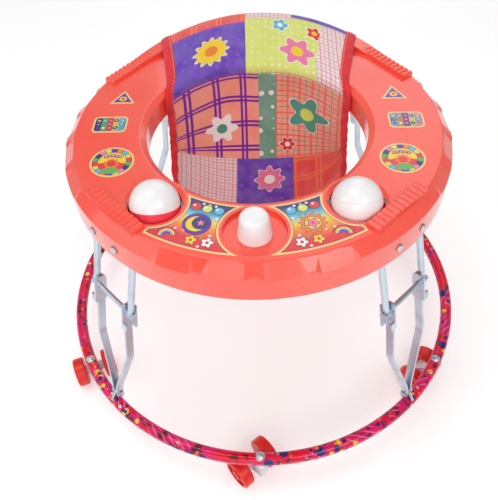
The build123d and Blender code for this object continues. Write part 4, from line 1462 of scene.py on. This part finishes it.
    def cloth(self, name: str, rows: list[Row], lengths: list[float]) -> bpy.types.Object:
        """Make the printed cloth, with a material for each kind of field.

        Args:
            name: Name of the piece.
            rows: Finished rows of the cloth.
            lengths: Distance of each row from the flap's hem.
        Returns:
            The cloth, with places on the flat cut as UV.
        """
        count = self.columns + 1
        faces = []
        for i in range(len(rows) - 1):
            for j in range(self.columns):
                a = i * count + j
                faces.append((a, a + count, a + count + 1, a + 1))
        made = mesh_object(name, [p for row in rows for p in row], faces)
        patches = Quilt.patches()
        names = {patch.cloth.name: patch.cloth for patch in patches}
        for cloth in names.values():
            made.data.materials.append(bpy.data.materials.get(cloth.name) or cloth.build())
        order = list(names)
        layer = made.data.uv_layers.new(name="flat_cut")
        for face in made.data.polygons:
            i, j = divmod(face.index, self.columns)
            share = (2 * j + 1) / self.columns - 1
            along = (lengths[i] + lengths[i + 1]) / 2 / MM
            for patch in patches:
                if patch.left <= share < patch.right and patch.start_mm <= along < patch.end_mm:
                    face.material_index = order.index(patch.cloth.name)
                    break
            for loop in face.loop_indices:
                row, column = divmod(made.data.loops[loop].vertex_index, count)
                layer.data[loop].uv = (rows[row][column].x, lengths[row])
        refine(made)
        body = made.modifiers.new("body", "SOLIDIFY")
        body.thickness = self.thick
        body.offset = -1.0
        apply_modifiers(made)
        return made

    def tape(self, name: str, rows: list[Row], normals: list[Row], lengths: list[float],
             side: int) -> bpy.types.Object:
        """Folded tape round one side edge, closed at the cloth's hem.

        Args:
            name: First words of the tape's name.
            rows: Finished rows of the cloth.
            normals: Their normals on the printed side.
            lengths: Distance of each row along the cloth.
            side: Minus one for the left edge, one for the right.
        Returns:
            The tape, with across and along distances as UV.
        """
        edge, inner = (0, self.tape_columns) if side < 0 else (-1, -1 - self.tape_columns)
        count = len(self.profile)
        points, faces, flat = [], [], []
        for row, row_normals, along in zip(rows, normals, lengths):
            normal = row_normals[edge]
            outward = row[edge] - row[inner]
            outward = (outward - normal * outward.dot(normal)).normalized()
            rim = row[edge] + outward * self.tape_lap - normal * self.thick / 2
            for across, height in self.profile:
                puff = 1 + self.tape_puff * noise.noise(Vector((along * 45, side * 3.0, across)))
                points.append(rim - outward * across * MM + normal * height * MM * puff)
                flat.append((math.copysign(across, height) * MM, along))
        for i in range(len(rows) - 1):
            for k in range(count):
                a, b = i * count + k, i * count + (k + 1) % count
                quad = (a, b, b + count, a + count)
                faces.append(quad if side > 0 else quad[::-1])
        starts = lengths[0] == 0
        hem = list(range(count)) if starts else list(range(len(points) - count, len(points)))
        faces.append(hem[::-1] if (side > 0) == starts else hem)
        made = mesh_object(name + ("_left" if side < 0 else "_right"), points, faces)
        layer = made.data.uv_layers.new(name="flat_tape")
        for loop in made.data.loops:
            layer.data[loop.index].uv = flat[loop.vertex_index]
        # Woven cotton tape: matt red, ribbed, with pale stitches.
        finish = WovenTape("red_binding_tape")
        made.data.materials.append(bpy.data.materials.get(finish.name) or finish.build())
        refine(made)
        apply_modifiers(made)
        return made


@dataclass(frozen=True)
class SoftBox:
    """Square lamp that faces the tray: its place and size in metres, and its power in watts."""

    name: str
    place: tuple[float, float, float]
    size: float
    watts: float
    aim: tuple[float, float, float] = (0.0, 0.0, 0.25)

    def build(self) -> None:
        """Hang the lamp."""
        data = bpy.data.lights.new(self.name, "AREA")
        data.shape = "SQUARE"
        data.size = self.size
        data.energy = self.watts
        lamp = bpy.data.objects.new(self.name, data)
        lamp.location = self.place
        ahead = Vector(self.aim) - Vector(self.place)
        lamp.rotation_euler = ahead.to_track_quat("-Z", "Y").to_euler()
        bpy.context.scene.collection.objects.link(lamp)


@dataclass
class Studio:
    """Camera at the photograph's angle, pale floor and soft light."""

    eye: tuple[float, float, float] = (-0.0172, -0.5787, 0.8048)
    target: tuple[float, float, float] = (-0.0172, 0.0, 0.1424)
    turn_degrees: float = 3.5
    roll_degrees: float = 3.13
    focal_pixels: float = 600.0
    frame_pixels: float = 500.0
    sensor_mm: float = 36.0
    floor_half: float = 4.0
    room_light: float = 0.45
    lamps: tuple[SoftBox, ...] = (
        SoftBox("key", (0.8, -1.3, 1.5), 0.9, 8.8), SoftBox("top", (-0.5, 0.0, 2.1), 0.9, 6.8),
        SoftBox("front", (-0.3, -1.7, 0.9), 1.2, 6.6), SoftBox("fill", (-1.5, -0.5, 1.1), 1.2, 4.0),
        SoftBox("back", (0.2, 1.6, 1.5), 1.4, 6.0))

    def build(self) -> None:
        """Add everything around the object."""
        self.add_camera()
        self.add_floor()
        self.add_lights()

    def add_camera(self) -> None:
        """Place the camera that the photograph was taken from."""
        data = bpy.data.cameras.new("photo_camera")
        data.sensor_width = self.sensor_mm
        data.lens = self.focal_pixels / self.frame_pixels * data.sensor_width
        data.clip_start = 0.01
        camera = bpy.data.objects.new("photo_camera", data)
        round_z = Matrix.Rotation(math.radians(self.turn_degrees), 3, "Z")
        eye = round_z @ Vector(self.eye)
        ahead = (round_z @ Vector(self.target) - eye).normalized()
        level = ahead.cross(Vector((0, 0, 1))).normalized()
        upright = level.cross(ahead)
        angle = math.radians(self.roll_degrees)
        right = level * math.cos(angle) - upright * math.sin(angle)
        up = level * math.sin(angle) + upright * math.cos(angle)
        turn = Matrix((right, up, -ahead)).transposed().to_4x4()
        camera.matrix_world = Matrix.Translation(eye) @ turn
        bpy.context.scene.collection.objects.link(camera)
        bpy.context.scene.camera = camera

    def add_floor(self) -> None:
        """Lay the floor under the casters."""
        half = self.floor_half
        corners = [(-half, -half, 0), (half, -half, 0), (half, half, 0), (-half, half, 0)]
        floor = mesh_object("studio_floor", corners, [(0, 1, 2, 3)])
        floor.data.materials.append(StudioFloor().build())

    def add_lights(self) -> None:
        """Hang the soft boxes and set the room's light."""
        for lamp in self.lamps:
            lamp.build()
        world = bpy.data.worlds.new("studio_room")
        world.use_nodes = True
        background = world.node_tree.nodes["Background"]
        background.inputs["Color"].default_value = (1, 1, 1, 1)
        background.inputs["Strength"].default_value = self.room_light
        bpy.context.scene.world = world
        bpy.context.scene.view_settings.view_transform = "Standard"


def main() -> None:
    """Build the looks of the whole walker."""
    logging.basicConfig(level=logging.INFO)
    for group in (FloorRing(), FoldingLegs(), PlayTray(), TrayLabels(), SlingSeat(), Studio()):
        LOG.info("building %s", type(group).__name__)
        group.build()


if __name__ == "__main__":
    main()
